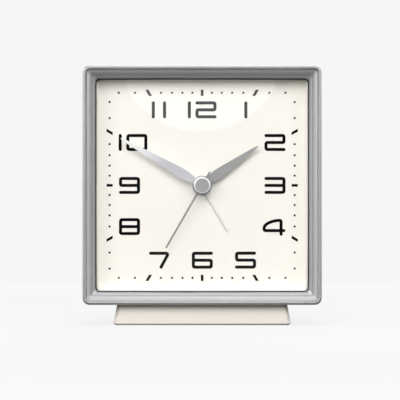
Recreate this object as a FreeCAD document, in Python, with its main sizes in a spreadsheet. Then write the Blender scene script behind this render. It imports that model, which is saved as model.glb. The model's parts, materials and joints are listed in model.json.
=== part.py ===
"""A square table alarm clock: a metal-look bezel and case on a pale plinth, with the dial, four
hands, the quartz movement, the alarm parts and the battery bay inside.

Millimetres. +X is the viewer's right, +Y goes into the clock and +Z is up. The origin lies on the
table, under the middle of the clock's whole depth. A depth is counted from the bezel's front crest
towards the back. Angles on the dial and in the movement are counted from +X towards +Z.
"""
import FreeCAD
import Part
import Sketcher
import math
import os

SIZES = {
    # case and bezel
    "case_corner": 3.2,
    "bezel_depth": 14.0,
    "shell_wall": 2.2,
    "seam_chamfer": 0.4,
    "rim_round": 1.0,
    "crest_inset": 1.35,
    "crest_corner": 2.3,
    "step_run": 0.4,
    "step_drop": 0.9,
    "shelf_run": 1.15,
    "shelf_drop": 0.4,
    "slope_run": 2.1,
    "slope_drop": 2.6,
    "lip_run": 0.6,
    "lip_drop": 1.3,
    "lip_corner": 1.9,
    "seat_wall": 4.0,
    "seat_corner": 1.6,
    "tongue_wall": 2.0,
    "flange_thickness": 1.6,
    "fit_gap": 0.15,
    # window
    "seal_thickness": 0.4,
    "seal_show": 0.4,
    "lens_thickness": 1.6,
    "dome_gap": 0.3,
    "dome_rise": 4.3,
    "dome_radius": 600.0,
    # dial
    "surround_depth": 3.6,
    "surround_show": 1.0,
    "dial_thickness": 0.6,
    "print_thickness": 0.08,
    "track_margin": 6.15,
    "tick_length": 2.85,
    "tick_width": 1.2,
    "dot_radius": 0.5,
    "numeral_width": 9.74,
    "numeral_height": 7.85,
    "numeral_stroke": 1.42,
    "numeral_corner": 0.7,
    "numeral_spacing": 5.2,
    "nut_radius": 4.5,
    "nut_thickness": 0.7,
    # hands, each with where it ends short of or past the minute track, and how far its front
    # stands off the dial
    "hand_thickness": 0.35,
    "hub_height": 0.9,
    "alarm_hand_lift": 1.25,
    "hour_hand_lift": 2.35,
    "minute_hand_lift": 3.45,
    "second_hand_lift": 4.5,
    "alarm_hand_clear": 18.65,
    "alarm_hand_half": 0.75,
    "alarm_tip_half": 0.45,
    "alarm_hub_radius": 4.2,
    "hour_hand_clear": 11.35,
    "hour_neck_reach": 4.2,
    "hour_neck_half": 1.75,
    "hour_blade_reach": 9.1,
    "hour_blade_half": 2.5,
    "hour_hub_radius": 4.3,
    "minute_hand_overlap": 0.55,
    "minute_neck_reach": 5.2,
    "minute_neck_half": 1.46,
    "minute_blade_reach": 11.1,
    "minute_blade_half": 2.6,
    "minute_hub_radius": 4.1,
    "blade_tip_half": 0.35,
    "blade_round": 9.0,
    "second_hand_clear": 9.45,
    "second_tail_length": 7.2,
    "second_hand_half": 0.48,
    "second_tip_half": 0.42,
    "second_hub_radius": 2.0,
    "cap_radius": 3.8,
    "cap_height": 2.1,
    "cap_bevel": 0.6,
    # hand angles at rest, clockwise from twelve
    "hour_hand_angle": 55.0,
    "minute_hand_angle": 300.0,
    "second_hand_angle": 210.0,
    "alarm_hand_angle": 150.0,
    # nested arbors at the middle
    "running_gap": 0.05,
    "second_arbor_radius": 0.55,
    "minute_pipe_wall": 0.55,
    "hour_pipe_wall": 0.65,
    "alarm_pipe_wall": 0.7,
    "bush_wall": 0.95,
    # movement case
    "movement_half": 27.0,
    "movement_corner": 3.0,
    "plate_thickness": 1.5,
    "housing_wall": 1.2,
    "train_room": 11.1,
    "movement_post_half": 2.2,
    "movement_post_inset": 2.9,
    "support_post_radius": 1.2,
    # going train
    "gear_thickness": 0.8,
    "gear_gap": 0.3,
    "arbor_radius": 0.5,
    "pivot_inset": 0.6,
    "third_distance": 9.2,
    "third_direction": 200.0,
    "step_distance": 9.6,
    "step_direction": 100.0,
    "rotor_distance": 9.8,
    "rotor_direction": 60.0,
    "motion_distance": 7.5,
    "motion_direction": 20.0,
    "stud_radius": 0.6,
    "setting_direction": 340.0,
    "idler_distance": 10.5,
    "alarm_direction": 270.0,
    "setting_shaft_radius": 1.2,
    # stepping motor and circuit
    "magnet_radius": 2.6,
    "magnet_length": 1.9,
    "magnet_gap": 0.35,
    "stator_half": 3.6,
    "stator_gap": 0.5,
    "stator_right_reach": 8.0,
    "motor_side_gap": 0.8,
    "stator_thickness": 0.8,
    "core_half": 0.9,
    "core_reach": 11.0,
    "stator_end_width": 2.0,
    "bobbin_hub": 1.3,
    "bobbin_radius": 2.2,
    "bobbin_flange": 0.6,
    "bobbin_inset": 0.4,
    "winding_gap": 0.1,
    "board_width": 20.0,
    "board_height": 12.0,
    "board_post_gap": 0.4,
    "board_thickness": 1.0,
    "chip_side": 5.0,
    "chip_height": 0.9,
    "crystal_radius": 1.0,
    "crystal_length": 6.0,
    "contact_thickness": 0.25,
    "contact_width": 2.4,
    "contact_length": 14.0,
    "contact_inset": 3.0,
    "contact_height": 3.0,
    "contact_stand": 3.2,
    # rear cover
    "cover_thickness": 2.2,
    "corner_post_inset": 4.6,
    "corner_post_half": 4.8,
    "screw_radius": 1.25,
    "screw_length": 9.0,
    "screw_head_radius": 2.5,
    "screw_head_height": 1.1,
    "screw_slot": 0.6,
    "movement_screw_radius": 0.8,
    "movement_head_radius": 1.5,
    "movement_head_height": 0.9,
    "shaft_hole_gap": 0.3,
    # knobs, switch and button
    "knob_gap": 0.5,
    "knob_height": 6.5,
    "time_knob_radius": 6.2,
    "alarm_knob_radius": 5.4,
    "knob_bevel": 0.6,
    "knob_scallop": 0.7,
    "control_place": 24.0,
    "switch_drop": 2.0,
    "switch_travel": 4.0,
    "switch_stem_half": 1.5,
    "switch_base_half": 2.4,
    "switch_stand": 1.0,
    "switch_base_thickness": 1.2,
    "slot_gap": 0.25,
    "slot_round": 0.4,
    "button_drop": 15.0,
    "button_radius": 4.8,
    "button_gap": 0.3,
    "button_flange": 1.1,
    "button_travel": 1.0,
    "button_stand": 1.4,
    "button_bevel": 0.5,
    "control_board_half_width": 11.0,
    "control_board_top": 5.0,
    "control_board_bottom": 22.0,
    "control_board_clearance": 2.9,
    "control_board_stand": 5.6,
    "control_board_thickness": 1.2,
    "control_post_radius": 1.4,
    "slide_switch_half": 4.5,
    "push_switch_half": 3.0,
    "plunger_radius": 1.6,
    "plunger_height": 0.8,
    "switch_slack": 0.2,
    # sounder
    "sounder_rise": 22.0,
    "sounder_radius": 10.0,
    "sounder_thickness": 1.2,
    "sound_hole_radius": 0.9,
    "sound_hole_pitch": 3.2,
    # battery bay
    "bay_rise": 6.6,
    "bay_gap": 0.8,
    "bay_half_length": 29.0,
    "bay_half_height": 8.0,
    "bay_depth": 16.2,
    "bay_wall": 1.2,
    "door_overlap": 2.0,
    "door_thickness": 1.6,
    "door_gap": 0.2,
    "door_corner": 1.0,
    "door_rib": 1.2,
    "door_rib_reach": 26.5,
    "door_rib_depth": 0.7,
    "door_grip_half": 6.0,
    "door_grip_height": 2.6,
    "door_grip_depth": 0.8,
    "cell_radius": 7.1,
    "cell_length": 49.3,
    "nub_radius": 2.75,
    "nub_length": 1.2,
    "contact_plate": 0.4,
    "contact_plate_half": 6.0,
    "tab_half": 1.2,
    "tab_rise": 1.1,
    "tab_gap": 0.1,
    "lead_radius": 0.4,
    "lead_bend": 1.4,
    "lead_gap": 0.15,
    "plus_lead_place": 18.0,
    "minus_lead_place": 26.0,
    "link_rise": 2.5,
    "link_pitch": 2.0,
    "link_inset": 4.0,
    "link_hole_gap": 0.2,
    "sounder_lead_place": 5.0,
    "coil_wire_radius": 0.35,
    "coil_radius": 4.0,
    "coil_end_radius": 2.6,
    # plinth
    "base_height": 9.5,
    "pad_thickness": 0.5,
    "pad_inset": 0.8,
    "plinth_width": 82.0,
    "plinth_taper": 1.7,
    "plinth_depth": 34.0,
    "plinth_rake": 2.0,
    "plinth_corner": 3.0,
    "plinth_boss_gap": 1.0,
    "plinth_screw_place": 25.0,
    "plinth_head_depth": 4.6,
    "plinth_boss_radius": 3.4,
    "plinth_boss_height": 4.4,
    # how far a cutting tool runs past the face it cuts
    "overrun": 1.0,
}

# tooth counts
TOOTH_COUNTS = {
    "second_wheel_count": 40,
    "second_pinion_count": 8,
    "third_wheel_count": 60,
    "third_pinion_count": 8,
    "centre_wheel_count": 64,
    "step_wheel_count": 48,
    "step_pinion_count": 8,
    "rotor_pinion_count": 8,
    "cannon_pinion_count": 12,
    "motion_wheel_count": 36,
    "motion_pinion_count": 10,
    "hour_wheel_count": 40,
    "setting_pinion_count": 12,
    "alarm_wheel_count": 40,
    "alarm_idler_count": 30,
    "alarm_pinion_count": 16,
}

# shares of the module or of the tooth pitch: (addendum, dedendum, half tooth, half tip)
WHEEL_TOOTH_SHARES = (0.95, 1.3, 0.21, 0.09)
PINION_TOOTH_SHARES = (0.6, 1.3, 0.19, 0.08)
SHORT_TOOTH_COUNT = 30
KNOB_SCALLOP_COUNT = 18
HOUR_COUNT = 12
MINUTE_COUNT = 60
HALF_TURN = 180.0
TOUCH = 1e-3
SOUND_HOLE_RING_COUNT = 2
LINK_WIRE_COUNT = 4
COIL_TURN_COUNT = 3.5

# where each numeral's middle lies, as shares of the minute track's half side
NUMERAL_PLACE_SHARES = {
    "12": (0.0, 0.816),
    "1": (0.472, 0.815),
    "2": (0.787, 0.463),
    "3": (0.787, -0.001),
    "4": (0.776, -0.453),
    "5": (0.469, -0.808),
    "6": (0.002, -0.809),
    "7": (-0.460, -0.809),
    "8": (-0.785, -0.446),
    "9": (-0.785, -0.001),
    "10": (-0.747, 0.463),
    "11": (-0.467, 0.816),
}
# each digit's pen strokes, as shares of its width and height, and its width as a share
FOUR_STEM_SHARE = 0.86
FOUR_BAR_SHARE = 0.26
FOUR_SHOULDER_SHARE = 0.42
FOUR_CURVE_STEP_COUNT = 9
DIGIT_STROKE_SHARES = {
    "0": (
        [(0.0, 0.5), (0.0, 1.0), (1.0, 1.0), (1.0, 0.5)],
        [(0.0, 0.5), (0.0, 0.0), (1.0, 0.0), (1.0, 0.5)],
    ),
    "1": ([(0.0, 0.0), (0.0, 1.0)],),
    "2": ([(0.0, 1.0), (1.0, 1.0), (1.0, 0.5), (0.0, 0.5), (0.0, 0.0), (1.0, 0.0)],),
    "3": ([(0.0, 1.0), (1.0, 1.0), (1.0, 0.0), (0.0, 0.0)], [(0.0, 0.5), (1.0, 0.5)]),
    "5": ([(1.0, 1.0), (0.0, 1.0), (0.0, 0.5), (1.0, 0.5), (1.0, 0.0), (0.0, 0.0)],),
    "6": (
        [(1.0, 1.0), (0.0, 1.0), (0.0, 0.25)],
        [(0.0, 0.25), (0.0, 0.0), (1.0, 0.0), (1.0, 0.5), (0.0, 0.5)],
    ),
    "7": ([(0.0, 1.0), (1.0, 1.0), (0.58, 0.0)],),
    "8": (
        [(0.0, 0.5), (0.0, 1.0), (1.0, 1.0), (1.0, 0.5)],
        [(0.0, 0.5), (0.0, 0.0), (1.0, 0.0), (1.0, 0.5)],
        [(0.0, 0.5), (1.0, 0.5)],
    ),
    "9": (
        [(0.0, 0.0), (1.0, 0.0), (1.0, 0.75)],
        [(1.0, 0.75), (1.0, 1.0), (0.0, 1.0), (0.0, 0.5), (1.0, 0.5)],
    ),
}
PAIR_SPACING_SHARES = {"10": 0.68, "11": 1.0, "12": 0.68}
# digits that aren't as wide as the others
DIGIT_WIDTH_SHARES = {"1": 0.0, "4": 1.1}


class Size:
    """A named or worked-out size: its value, and the sheet formula that gives it."""

    def __init__(self, value, formula):
        self.value = value
        self.formula = formula

    def __add__(self, other):
        other = as_size(other)
        return Size(self.value + other.value, f"({self.formula} + {other.formula})")

    def __sub__(self, other):
        other = as_size(other)
        return Size(self.value - other.value, f"({self.formula} - {other.formula})")

    def __mul__(self, other):
        other = as_size(other)
        return Size(self.value * other.value, f"({self.formula} * {other.formula})")

    def __truediv__(self, other):
        other = as_size(other)
        return Size(self.value / other.value, f"({self.formula} / {other.formula})")

    def __neg__(self):
        return Size(-self.value, f"(0 - {self.formula})")

    __radd__ = __add__
    __rmul__ = __mul__


def as_size(number):
    return number if isinstance(number, Size) else Size(number, repr(number))


def cosine(angle):
    return Size(math.cos(math.radians(angle.value)), f"cos({angle.formula} * 1 deg)")


def sine(angle):
    return Size(math.sin(math.radians(angle.value)), f"sin({angle.formula} * 1 deg)")


class Sheet:
    """The driving sizes, each read back from the spreadsheet by its alias."""

    def __init__(self, document, values):
        cells = document.addObject("Spreadsheet::Sheet", "sizes")
        for row, (alias, value) in enumerate(values.items(), start=1):
            cells.set(f"A{row}", str(value))
            cells.setAlias(f"A{row}", alias)
        document.recompute()
        for alias in values:
            setattr(self, alias, Size(float(cells.get(alias)), f"sizes.{alias}"))


doc = FreeCAD.newDocument("table_alarm_clock")
s = Sheet(doc, SIZES)
ZERO = Size(0.0, "0")
PARTS = []

# places that many pieces share
bay_height = (s.bay_half_height + s.bay_wall) * 2
half_side = s.movement_half + s.bay_gap + bay_height + s.bay_rise + s.shell_wall
arbor_z = s.base_height + half_side
lip_depth = s.step_drop + s.shelf_drop + s.slope_drop + s.lip_drop
lip_half = half_side - s.crest_inset - s.step_run - s.shelf_run - s.slope_run - s.lip_run
seat_half = half_side - s.seat_wall
inlay_half = seat_half - s.fit_gap
seal_half = lip_half - s.seal_show
lens_front = lip_depth + s.seal_thickness
lens_back = lens_front + s.lens_thickness
dome_half = seal_half - s.dome_gap
dial_front = lens_back + s.surround_depth
dial_back = dial_front + s.dial_thickness
shell_inner_half = half_side - s.shell_wall
post_place = shell_inner_half - s.corner_post_inset
track_half = seal_half - s.track_margin
alarm_hand_length = track_half - s.alarm_hand_clear
hour_hand_length = track_half - s.hour_hand_clear
minute_hand_length = track_half + s.minute_hand_overlap
second_hand_length = track_half - s.second_hand_clear

# radii of the nested arbors, from the second hand's outwards
minute_bore = s.second_arbor_radius + s.running_gap
minute_pipe = minute_bore + s.minute_pipe_wall
hour_bore = minute_pipe + s.running_gap
hour_pipe = hour_bore + s.hour_pipe_wall
alarm_bore = hour_pipe + s.running_gap
alarm_pipe = alarm_bore + s.alarm_pipe_wall
bush_bore = alarm_pipe + s.running_gap
bush_radius = bush_bore + s.bush_wall

# depths in the movement
plate_back = dial_back + s.plate_thickness
housing_inner_back = plate_back + s.train_room
housing_back = housing_inner_back + s.housing_wall
housing_inner_half = s.movement_half - s.housing_wall
layer_pitch = s.gear_thickness + s.gear_gap

# depths behind the movement: the switch board, the cover and the knobs
board_front_depth = housing_back + s.movement_head_height + s.control_board_clearance
board_back_depth = board_front_depth + s.control_board_thickness
control_board_middle = board_back_depth - s.control_board_thickness / 2
cover_front = board_back_depth + s.control_board_stand
case_depth = cover_front + s.cover_thickness
overall_depth = case_depth + s.knob_gap + s.knob_height


# the gears stand in layers, counted from the front plate
ALARM_LAYER, HOUR_LAYER, MINUTE_LAYER, CENTRE_LAYER = range(4)
THIRD_LAYER, SECOND_LAYER, STEP_LAYER = range(4, 7)


def layer_front(number):
    """The depth at which a layer of gears begins, counted from the front plate."""
    return plate_back + s.gear_gap + layer_pitch * number


def layer_back(number):
    return layer_front(number) + s.gear_thickness


motor_side = housing_inner_half - s.motor_side_gap
circuit_left, circuit_right = -motor_side, s.board_width - motor_side
circuit_bottom = arbor_z + s.movement_post_inset + s.movement_post_half + s.board_post_gap - s.movement_half
circuit_top = circuit_bottom + s.board_height
link_places = [
    (circuit_left + s.link_inset + s.link_pitch * n, circuit_bottom + s.link_rise)
    for n in range(LINK_WIRE_COUNT)
]
stator_front = layer_back(STEP_LAYER) + s.magnet_gap * 2
circuit_board_back = layer_back(STEP_LAYER) + s.magnet_gap + s.board_thickness


def place_from(start, distance, direction):
    """The point that lies a distance from start, in a direction in degrees."""
    return (start[0] + distance * cosine(direction), start[1] + distance * sine(direction))


def teeth(name):
    return TOOTH_COUNTS[name + "_count"]


def module_of(distance, first, second):
    """The gear module at which two tooth counts mesh on centres that far apart."""
    return distance * 2 / (teeth(first) + teeth(second))


arbor = (ZERO, arbor_z)
third_place = place_from(arbor, s.third_distance, s.third_direction)
step_place = place_from(arbor, s.step_distance, s.step_direction)
rotor_place = place_from(step_place, s.rotor_distance, s.rotor_direction)
motion_place = place_from(arbor, s.motion_distance, s.motion_direction)
third_module = module_of(s.third_distance, "third_wheel", "second_pinion")
centre_module = module_of(s.third_distance, "centre_wheel", "third_pinion")
second_module = module_of(s.step_distance, "second_wheel", "step_pinion")
step_module = module_of(s.rotor_distance, "step_wheel", "rotor_pinion")
cannon_module = module_of(s.motion_distance, "motion_wheel", "cannon_pinion")
hour_module = module_of(s.motion_distance, "hour_wheel", "motion_pinion")
alarm_module = module_of(s.idler_distance, "alarm_wheel", "alarm_idler")
setting_distance = cannon_module * (teeth("motion_wheel") + teeth("setting_pinion")) / 2
setting_place = place_from(motion_place, setting_distance, s.setting_direction)
idler_place = place_from(arbor, s.idler_distance, s.alarm_direction)
alarm_set_distance = alarm_module * (teeth("alarm_idler") + teeth("alarm_pinion")) / 2
alarm_set_place = place_from(idler_place, alarm_set_distance, s.alarm_direction)


def y_of(depth):
    return depth - overall_depth / 2


def bind(thing, name, size):
    thing.setExpression(name, size.formula)


def new_body(label):
    body = doc.addObject("PartDesign::Body", label)
    body.Label = label
    return body


def keep(thing, label):
    """Gives a finished sub-part its name and puts it on the list to write."""
    thing.Label = label
    PARTS.append(thing)
    return thing


def new_sketch(body, label, role, height):
    """A sketch on one of the body's own planes, that far along the plane's normal."""
    sketch = body.newObject("Sketcher::SketchObject", label)
    plane = next(f for f in body.Origin.OriginFeatures if f.Role == role)
    sketch.AttachmentSupport = (plane, [""])
    sketch.MapMode = "FlatFace"
    bind(sketch, "AttachmentOffset.Base.z", height)
    return sketch


def hold(sketch, geometry, point, across, up):
    """Fixes a sketch point at its two distances from the origin."""
    for kind, axis, size in (("DistanceX", -2, across), ("DistanceY", -1, up)):
        if size is None:
            continue
        if size is ZERO:
            sketch.addConstraint(Sketcher.Constraint("PointOnObject", geometry, point, axis))
            continue
        rule = Sketcher.Constraint(kind, -1, 1, geometry, point, size.value)
        name = f"{kind}_{geometry}_{point}"
        sketch.renameConstraint(sketch.addConstraint(rule), name)
        bind(sketch, "Constraints." + name, size)


def draw_polygon(sketch, points):
    """A closed outline of straight lines through the points."""
    first = sketch.GeometryCount
    corners = [FreeCAD.Vector(x.value, z.value, 0) for x, z in points]
    for start, end in zip(corners, corners[1:] + corners[:1]):
        sketch.addGeometry(Part.LineSegment(start, end), False)
    for number, (across, up) in enumerate(points):
        after = first + (number + 1) % len(points)
        sketch.addConstraint(Sketcher.Constraint("Coincident", first + number, 2, after, 1))
        hold(sketch, first + number, 1, across, up)


def draw_disc(sketch, radius, place=arbor):
    middle = FreeCAD.Vector(place[0].value, place[1].value, 0)
    circle = Part.Circle(middle, FreeCAD.Vector(0, 0, 1), radius.value)
    number = sketch.addGeometry(circle, False)
    name = f"Radius_{number}"
    rule = Sketcher.Constraint("Radius", number, radius.value)
    sketch.renameConstraint(sketch.addConstraint(rule), name)
    bind(sketch, "Constraints." + name, radius)
    hold(sketch, number, 3, place[0], place[1])


def draw_rounded(sketch, half_across, half_up, corner, place=arbor):
    """A rectangle with four equal rounded corners, about its middle."""
    low = (place[0] - half_across, place[1] - half_up)
    high = (place[0] + half_across, place[1] + half_up)
    x0, z0, x1, z1, r = low[0].value, low[1].value, high[0].value, high[1].value, corner.value
    first = sketch.GeometryCount
    sides = (
        ((x0 + r, z0), (x1 - r, z0)),
        ((x1, z0 + r), (x1, z1 - r)),
        ((x1 - r, z1), (x0 + r, z1)),
        ((x0, z1 - r), (x0, z0 + r)),
    )
    turns = ((x1 - r, z0 + r), (x1 - r, z1 - r), (x0 + r, z1 - r), (x0 + r, z0 + r))
    for start, end in sides:
        line = Part.LineSegment(FreeCAD.Vector(*start, 0), FreeCAD.Vector(*end, 0))
        sketch.addGeometry(line, False)
    for number, middle in enumerate(turns):
        circle = Part.Circle(FreeCAD.Vector(*middle, 0), FreeCAD.Vector(0, 0, 1), r)
        start = (number - 1) * math.pi / 2
        sketch.addGeometry(Part.ArcOfCircle(circle, start, start + math.pi / 2), False)
    for number in range(4):
        side, arc, after = first + number, first + 4 + number, first + (number + 1) % 4
        sketch.addConstraint(Sketcher.Constraint("Tangent", side, 2, arc, 1))
        sketch.addConstraint(Sketcher.Constraint("Tangent", arc, 2, after, 1))
        level = "Vertical" if number % 2 else "Horizontal"
        sketch.addConstraint(Sketcher.Constraint(level, side))
        if number:
            sketch.addConstraint(Sketcher.Constraint("Equal", first + 4, arc))
    name = f"Corner_{first}"
    rule = Sketcher.Constraint("Radius", first + 4, r)
    sketch.renameConstraint(sketch.addConstraint(rule), name)
    bind(sketch, "Constraints." + name, corner)
    hold(sketch, first, 1, None, low[1])
    hold(sketch, first + 1, 1, high[0], None)
    hold(sketch, first + 2, 1, None, high[1])
    hold(sketch, first + 3, 1, low[0], None)


def add_slab(body, name, front, back, draw):
    """Adds an outline, drawn as seen from the front, between two depths."""
    sketch = new_sketch(body, name + "_outline", "XZ_Plane", -y_of(back))
    draw(sketch)
    feature = body.newObject("PartDesign::Pad", name)
    feature.Profile = sketch
    bind(feature, "Length", back - front)
    return feature


def cut_slab(body, name, front, back, draw):
    """Cuts an outline, drawn as seen from the front, between two depths."""
    sketch = new_sketch(body, name + "_outline", "XZ_Plane", -y_of(front))
    draw(sketch)
    feature = body.newObject("PartDesign::Pocket", name)
    feature.Profile = sketch
    bind(feature, "Length", back - front)
    return feature


def add_layer(body, name, bottom, top, draw):
    """Adds an outline, drawn as seen from above, between two heights."""
    sketch = new_sketch(body, name + "_outline", "XY_Plane", bottom)
    draw(sketch)
    feature = body.newObject("PartDesign::Pad", name)
    feature.Profile = sketch
    bind(feature, "Length", top - bottom)
    return feature


def cut_layer(body, name, bottom, top, draw):
    """Cuts an outline, drawn as seen from above, between two heights."""
    sketch = new_sketch(body, name + "_outline", "XY_Plane", top)
    draw(sketch)
    feature = body.newObject("PartDesign::Pocket", name)
    feature.Profile = sketch
    bind(feature, "Length", top - bottom)
    return feature


def edge_names(shape, test):
    return [f"Edge{n}" for n, edge in enumerate(shape.Edges, start=1) if test(edge)]


def at_depth(depth):
    """A test for edges that lie in the plane at one depth."""
    y = y_of(depth).value

    def test(edge):
        box = edge.BoundBox
        return abs(box.YMin - y) < 1e-4 and abs(box.YMax - y) < 1e-4

    return test


def dress(body, kind, name, size, test):
    """Rounds or chamfers the edges of the body's last feature that pass a test."""
    doc.recompute()
    base = body.Tip
    feature = body.newObject(kind, name)
    feature.Base = (base, edge_names(base.Shape, test))
    bind(feature, "Radius" if kind.endswith("Fillet") else "Size", size)
    return feature


def outer_edges(test, half):
    """Narrows an edge test to the edges that reach out to a half side."""

    def narrowed(edge):
        box = edge.BoundBox
        up = max(abs(box.ZMin - arbor_z.value), abs(box.ZMax - arbor_z.value))
        reach = max(abs(box.XMin), abs(box.XMax), up)
        return test(edge) and reach > half.value - SIZES["case_corner"]

    return narrowed


# plain solids for pieces that are neither sketched nor cut


def front_point(place, depth):
    return FreeCAD.Vector(place[0].value, y_of(depth).value, place[1].value)


def rod(radius, front, back, place=arbor):
    length = back.value - front.value
    return Part.makeCylinder(radius.value, length, front_point(place, front), FreeCAD.Vector(0, 1, 0))


def pipe(outer, bore, front, back, place=arbor):
    return rod(outer, front, back, place).cut(rod(bore, front, back, place))


def block(x0, x1, front, back, z0, z1):
    corner = FreeCAD.Vector(x0.value, y_of(front).value, z0.value)
    return Part.makeBox(
        x1.value - x0.value, back.value - front.value, z1.value - z0.value, corner
    )


def solid_piece(label, shape):
    feature = doc.addObject("Part::Feature", label)
    feature.Shape = shape
    return keep(feature, label)


# the case


def make_bezel():
    body = new_body("bezel_frame")
    add_slab(body, "bezel_block", ZERO, s.bezel_depth,
             lambda k: draw_rounded(k, half_side, half_side, s.case_corner))
    dress(body, "PartDesign::Fillet", "rim_rounding", s.rim_round, at_depth(ZERO))
    insets = (
        (ZERO, s.crest_inset, s.crest_corner),
        (s.step_drop, s.crest_inset + s.step_run, s.crest_corner),
        (s.step_drop + s.shelf_drop, s.crest_inset + s.step_run + s.shelf_run, s.crest_corner),
        (lip_depth - s.lip_drop, half_side - lip_half - s.lip_run, s.lip_corner),
        (lip_depth, half_side - lip_half, s.lip_corner),
    )
    sections = []
    for number, (depth, inset, corner) in enumerate(insets):
        sketch = new_sketch(body, f"funnel_section_{number}", "XZ_Plane", -y_of(depth))
        draw_rounded(sketch, half_side - inset, half_side - inset, corner)
        sections.append(sketch)
    funnel = body.newObject("PartDesign::SubtractiveLoft", "funnel")
    funnel.Profile = sections[0]
    funnel.Sections = sections[1:]
    funnel.Ruled = True
    cut_slab(body, "window_seat", lip_depth, s.bezel_depth,
             lambda k: draw_rounded(k, seat_half, seat_half, s.seat_corner))
    dress(body, "PartDesign::Chamfer", "bezel_seam", s.seam_chamfer,
          outer_edges(at_depth(s.bezel_depth), half_side))
    return keep(body, "bezel_frame")


def make_shell():
    body = new_body("case_shell")
    add_slab(body, "sleeve", s.bezel_depth, case_depth,
             lambda k: draw_rounded(k, half_side, half_side, s.case_corner))
    cut_slab(body, "sleeve_room", s.bezel_depth + s.flange_thickness, case_depth,
             lambda k: draw_rounded(k, shell_inner_half, shell_inner_half, s.seat_corner))
    cut_slab(body, "front_opening", s.bezel_depth, s.bezel_depth + s.flange_thickness,
             lambda k: draw_rounded(k, inlay_half - s.tongue_wall, inlay_half - s.tongue_wall,
                                    s.seat_corner))

    def tongue(sketch):
        draw_rounded(sketch, inlay_half, inlay_half, s.seat_corner)
        inner = inlay_half - s.tongue_wall
        draw_rounded(sketch, inner, inner, s.seat_corner)

    add_slab(body, "tongue", dial_back, s.bezel_depth, tongue)

    def corners(sketch):
        for across in (-post_place, post_place):
            for up in (arbor_z - post_place, arbor_z + post_place):
                draw_rounded(sketch, s.corner_post_half, s.corner_post_half, s.slot_round,
                             (across, up))

    def pilots(sketch):
        for across in (-post_place, post_place):
            for up in (arbor_z - post_place, arbor_z + post_place):
                draw_disc(sketch, s.screw_radius, (across, up))

    add_slab(body, "corner_posts", s.bezel_depth, cover_front, corners)
    cut_slab(body, "pilot_holes", cover_front - s.screw_length, cover_front, pilots)
    floor = arbor_z - shell_inner_half

    def bosses(sketch):
        for across in (-s.plinth_screw_place, s.plinth_screw_place):
            draw_disc(sketch, s.plinth_boss_radius, (across, plinth_middle))

    def boss_holes(sketch):
        for across in (-s.plinth_screw_place, s.plinth_screw_place):
            draw_disc(sketch, s.screw_radius, (across, plinth_middle))

    add_layer(body, "plinth_bosses", s.base_height, floor + s.plinth_boss_height, bosses)
    cut_layer(body, "plinth_boss_holes", s.base_height, floor + s.plinth_boss_height, boss_holes)
    dress(body, "PartDesign::Chamfer", "shell_seam", s.seam_chamfer,
          outer_edges(at_depth(s.bezel_depth), half_side))
    return keep(body, "case_shell")


def screw(radius, length, head_radius, head_height, slot):
    """A cross-slotted screw that points along +Z, with its head's top at the origin."""
    down = FreeCAD.Vector(0, 0, 1)
    origin = FreeCAD.Vector(0, 0, 0)
    head = Part.makeCylinder(head_radius, head_height, origin, down)
    shank = Part.makeCylinder(radius, length + head_height, origin, down)
    whole = head.fuse(shank).removeSplitter()
    arm, depth = head_radius * 1.2, head_height * 0.6
    for wide, tall in ((arm, slot), (slot, arm)):
        whole = whole.cut(Part.makeBox(wide, tall, depth, FreeCAD.Vector(-wide / 2, -tall / 2, 0)))
    return whole


def screw_set(label, places, radius, length, head_radius, head_height, turn):
    """Equal screws as one piece, each at a point, turned from +Z to the way it is driven."""
    made = []
    for point in places:
        one = screw(radius.value, length.value, head_radius.value, head_height.value,
                    s.screw_slot.value)
        one.Placement = FreeCAD.Placement(point, turn)
        made.append(one)
    return solid_piece(label, Part.makeCompound(made))


FORWARD = FreeCAD.Rotation(FreeCAD.Vector(1, 0, 0), 90)
UPWARD = FreeCAD.Rotation()


def corner_points(place, depth):
    """The four points at a distance each way from the arbor, at one depth."""
    return [
        front_point((across, up), depth)
        for across in (-place, place)
        for up in (arbor_z - place, arbor_z + place)
    ]


# window and dial


def make_window():
    seal = new_body("lens_seal")

    def seal_outline(sketch):
        draw_rounded(sketch, inlay_half, inlay_half, s.seat_corner)
        draw_rounded(sketch, seal_half, seal_half, s.lip_corner)

    add_slab(seal, "seal_ring", lip_depth, lens_front, seal_outline)
    keep(seal, "lens_seal")

    apex = lens_front - s.dome_rise
    inner_half = dome_half - s.lens_thickness
    blank = new_body("lens_blank")
    add_slab(blank, "lens_flange", lens_front, lens_back,
             lambda k: draw_rounded(k, inlay_half, inlay_half, s.seat_corner))
    add_slab(blank, "dome_prism", apex, lens_front,
             lambda k: draw_rounded(k, dome_half, dome_half, s.lip_corner))
    hollow = new_body("lens_hollow")
    add_slab(hollow, "hollow_prism", apex, lens_back + s.overrun,
             lambda k: draw_rounded(k, inner_half, inner_half, s.lip_corner))
    domes = []
    for name, block_body, radius in (
        ("outer_dome", blank, s.dome_radius),
        ("inner_dome", hollow, s.dome_radius - s.lens_thickness),
    ):
        ball = doc.addObject("Part::Sphere", name + "_ball")
        bind(ball, "Radius", radius)
        bind(ball, "Placement.Base.y", y_of(apex + s.dome_radius))
        bind(ball, "Placement.Base.z", arbor_z)
        dome = doc.addObject("Part::Common", name)
        dome.Base = block_body
        dome.Tool = ball
        domes.append(dome)
    lens = doc.addObject("Part::Cut", "lens")
    lens.Base = domes[0]
    lens.Tool = domes[1]
    keep(lens, "lens")


def make_surround():
    body = new_body("dial_surround")

    def outline(sketch):
        draw_rounded(sketch, inlay_half, inlay_half, s.seat_corner)
        inner = seal_half - s.surround_show
        draw_rounded(sketch, inner, inner, s.lip_corner)

    add_slab(body, "surround_ring", lens_back, dial_front, outline)
    return keep(body, "dial_surround")


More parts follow.
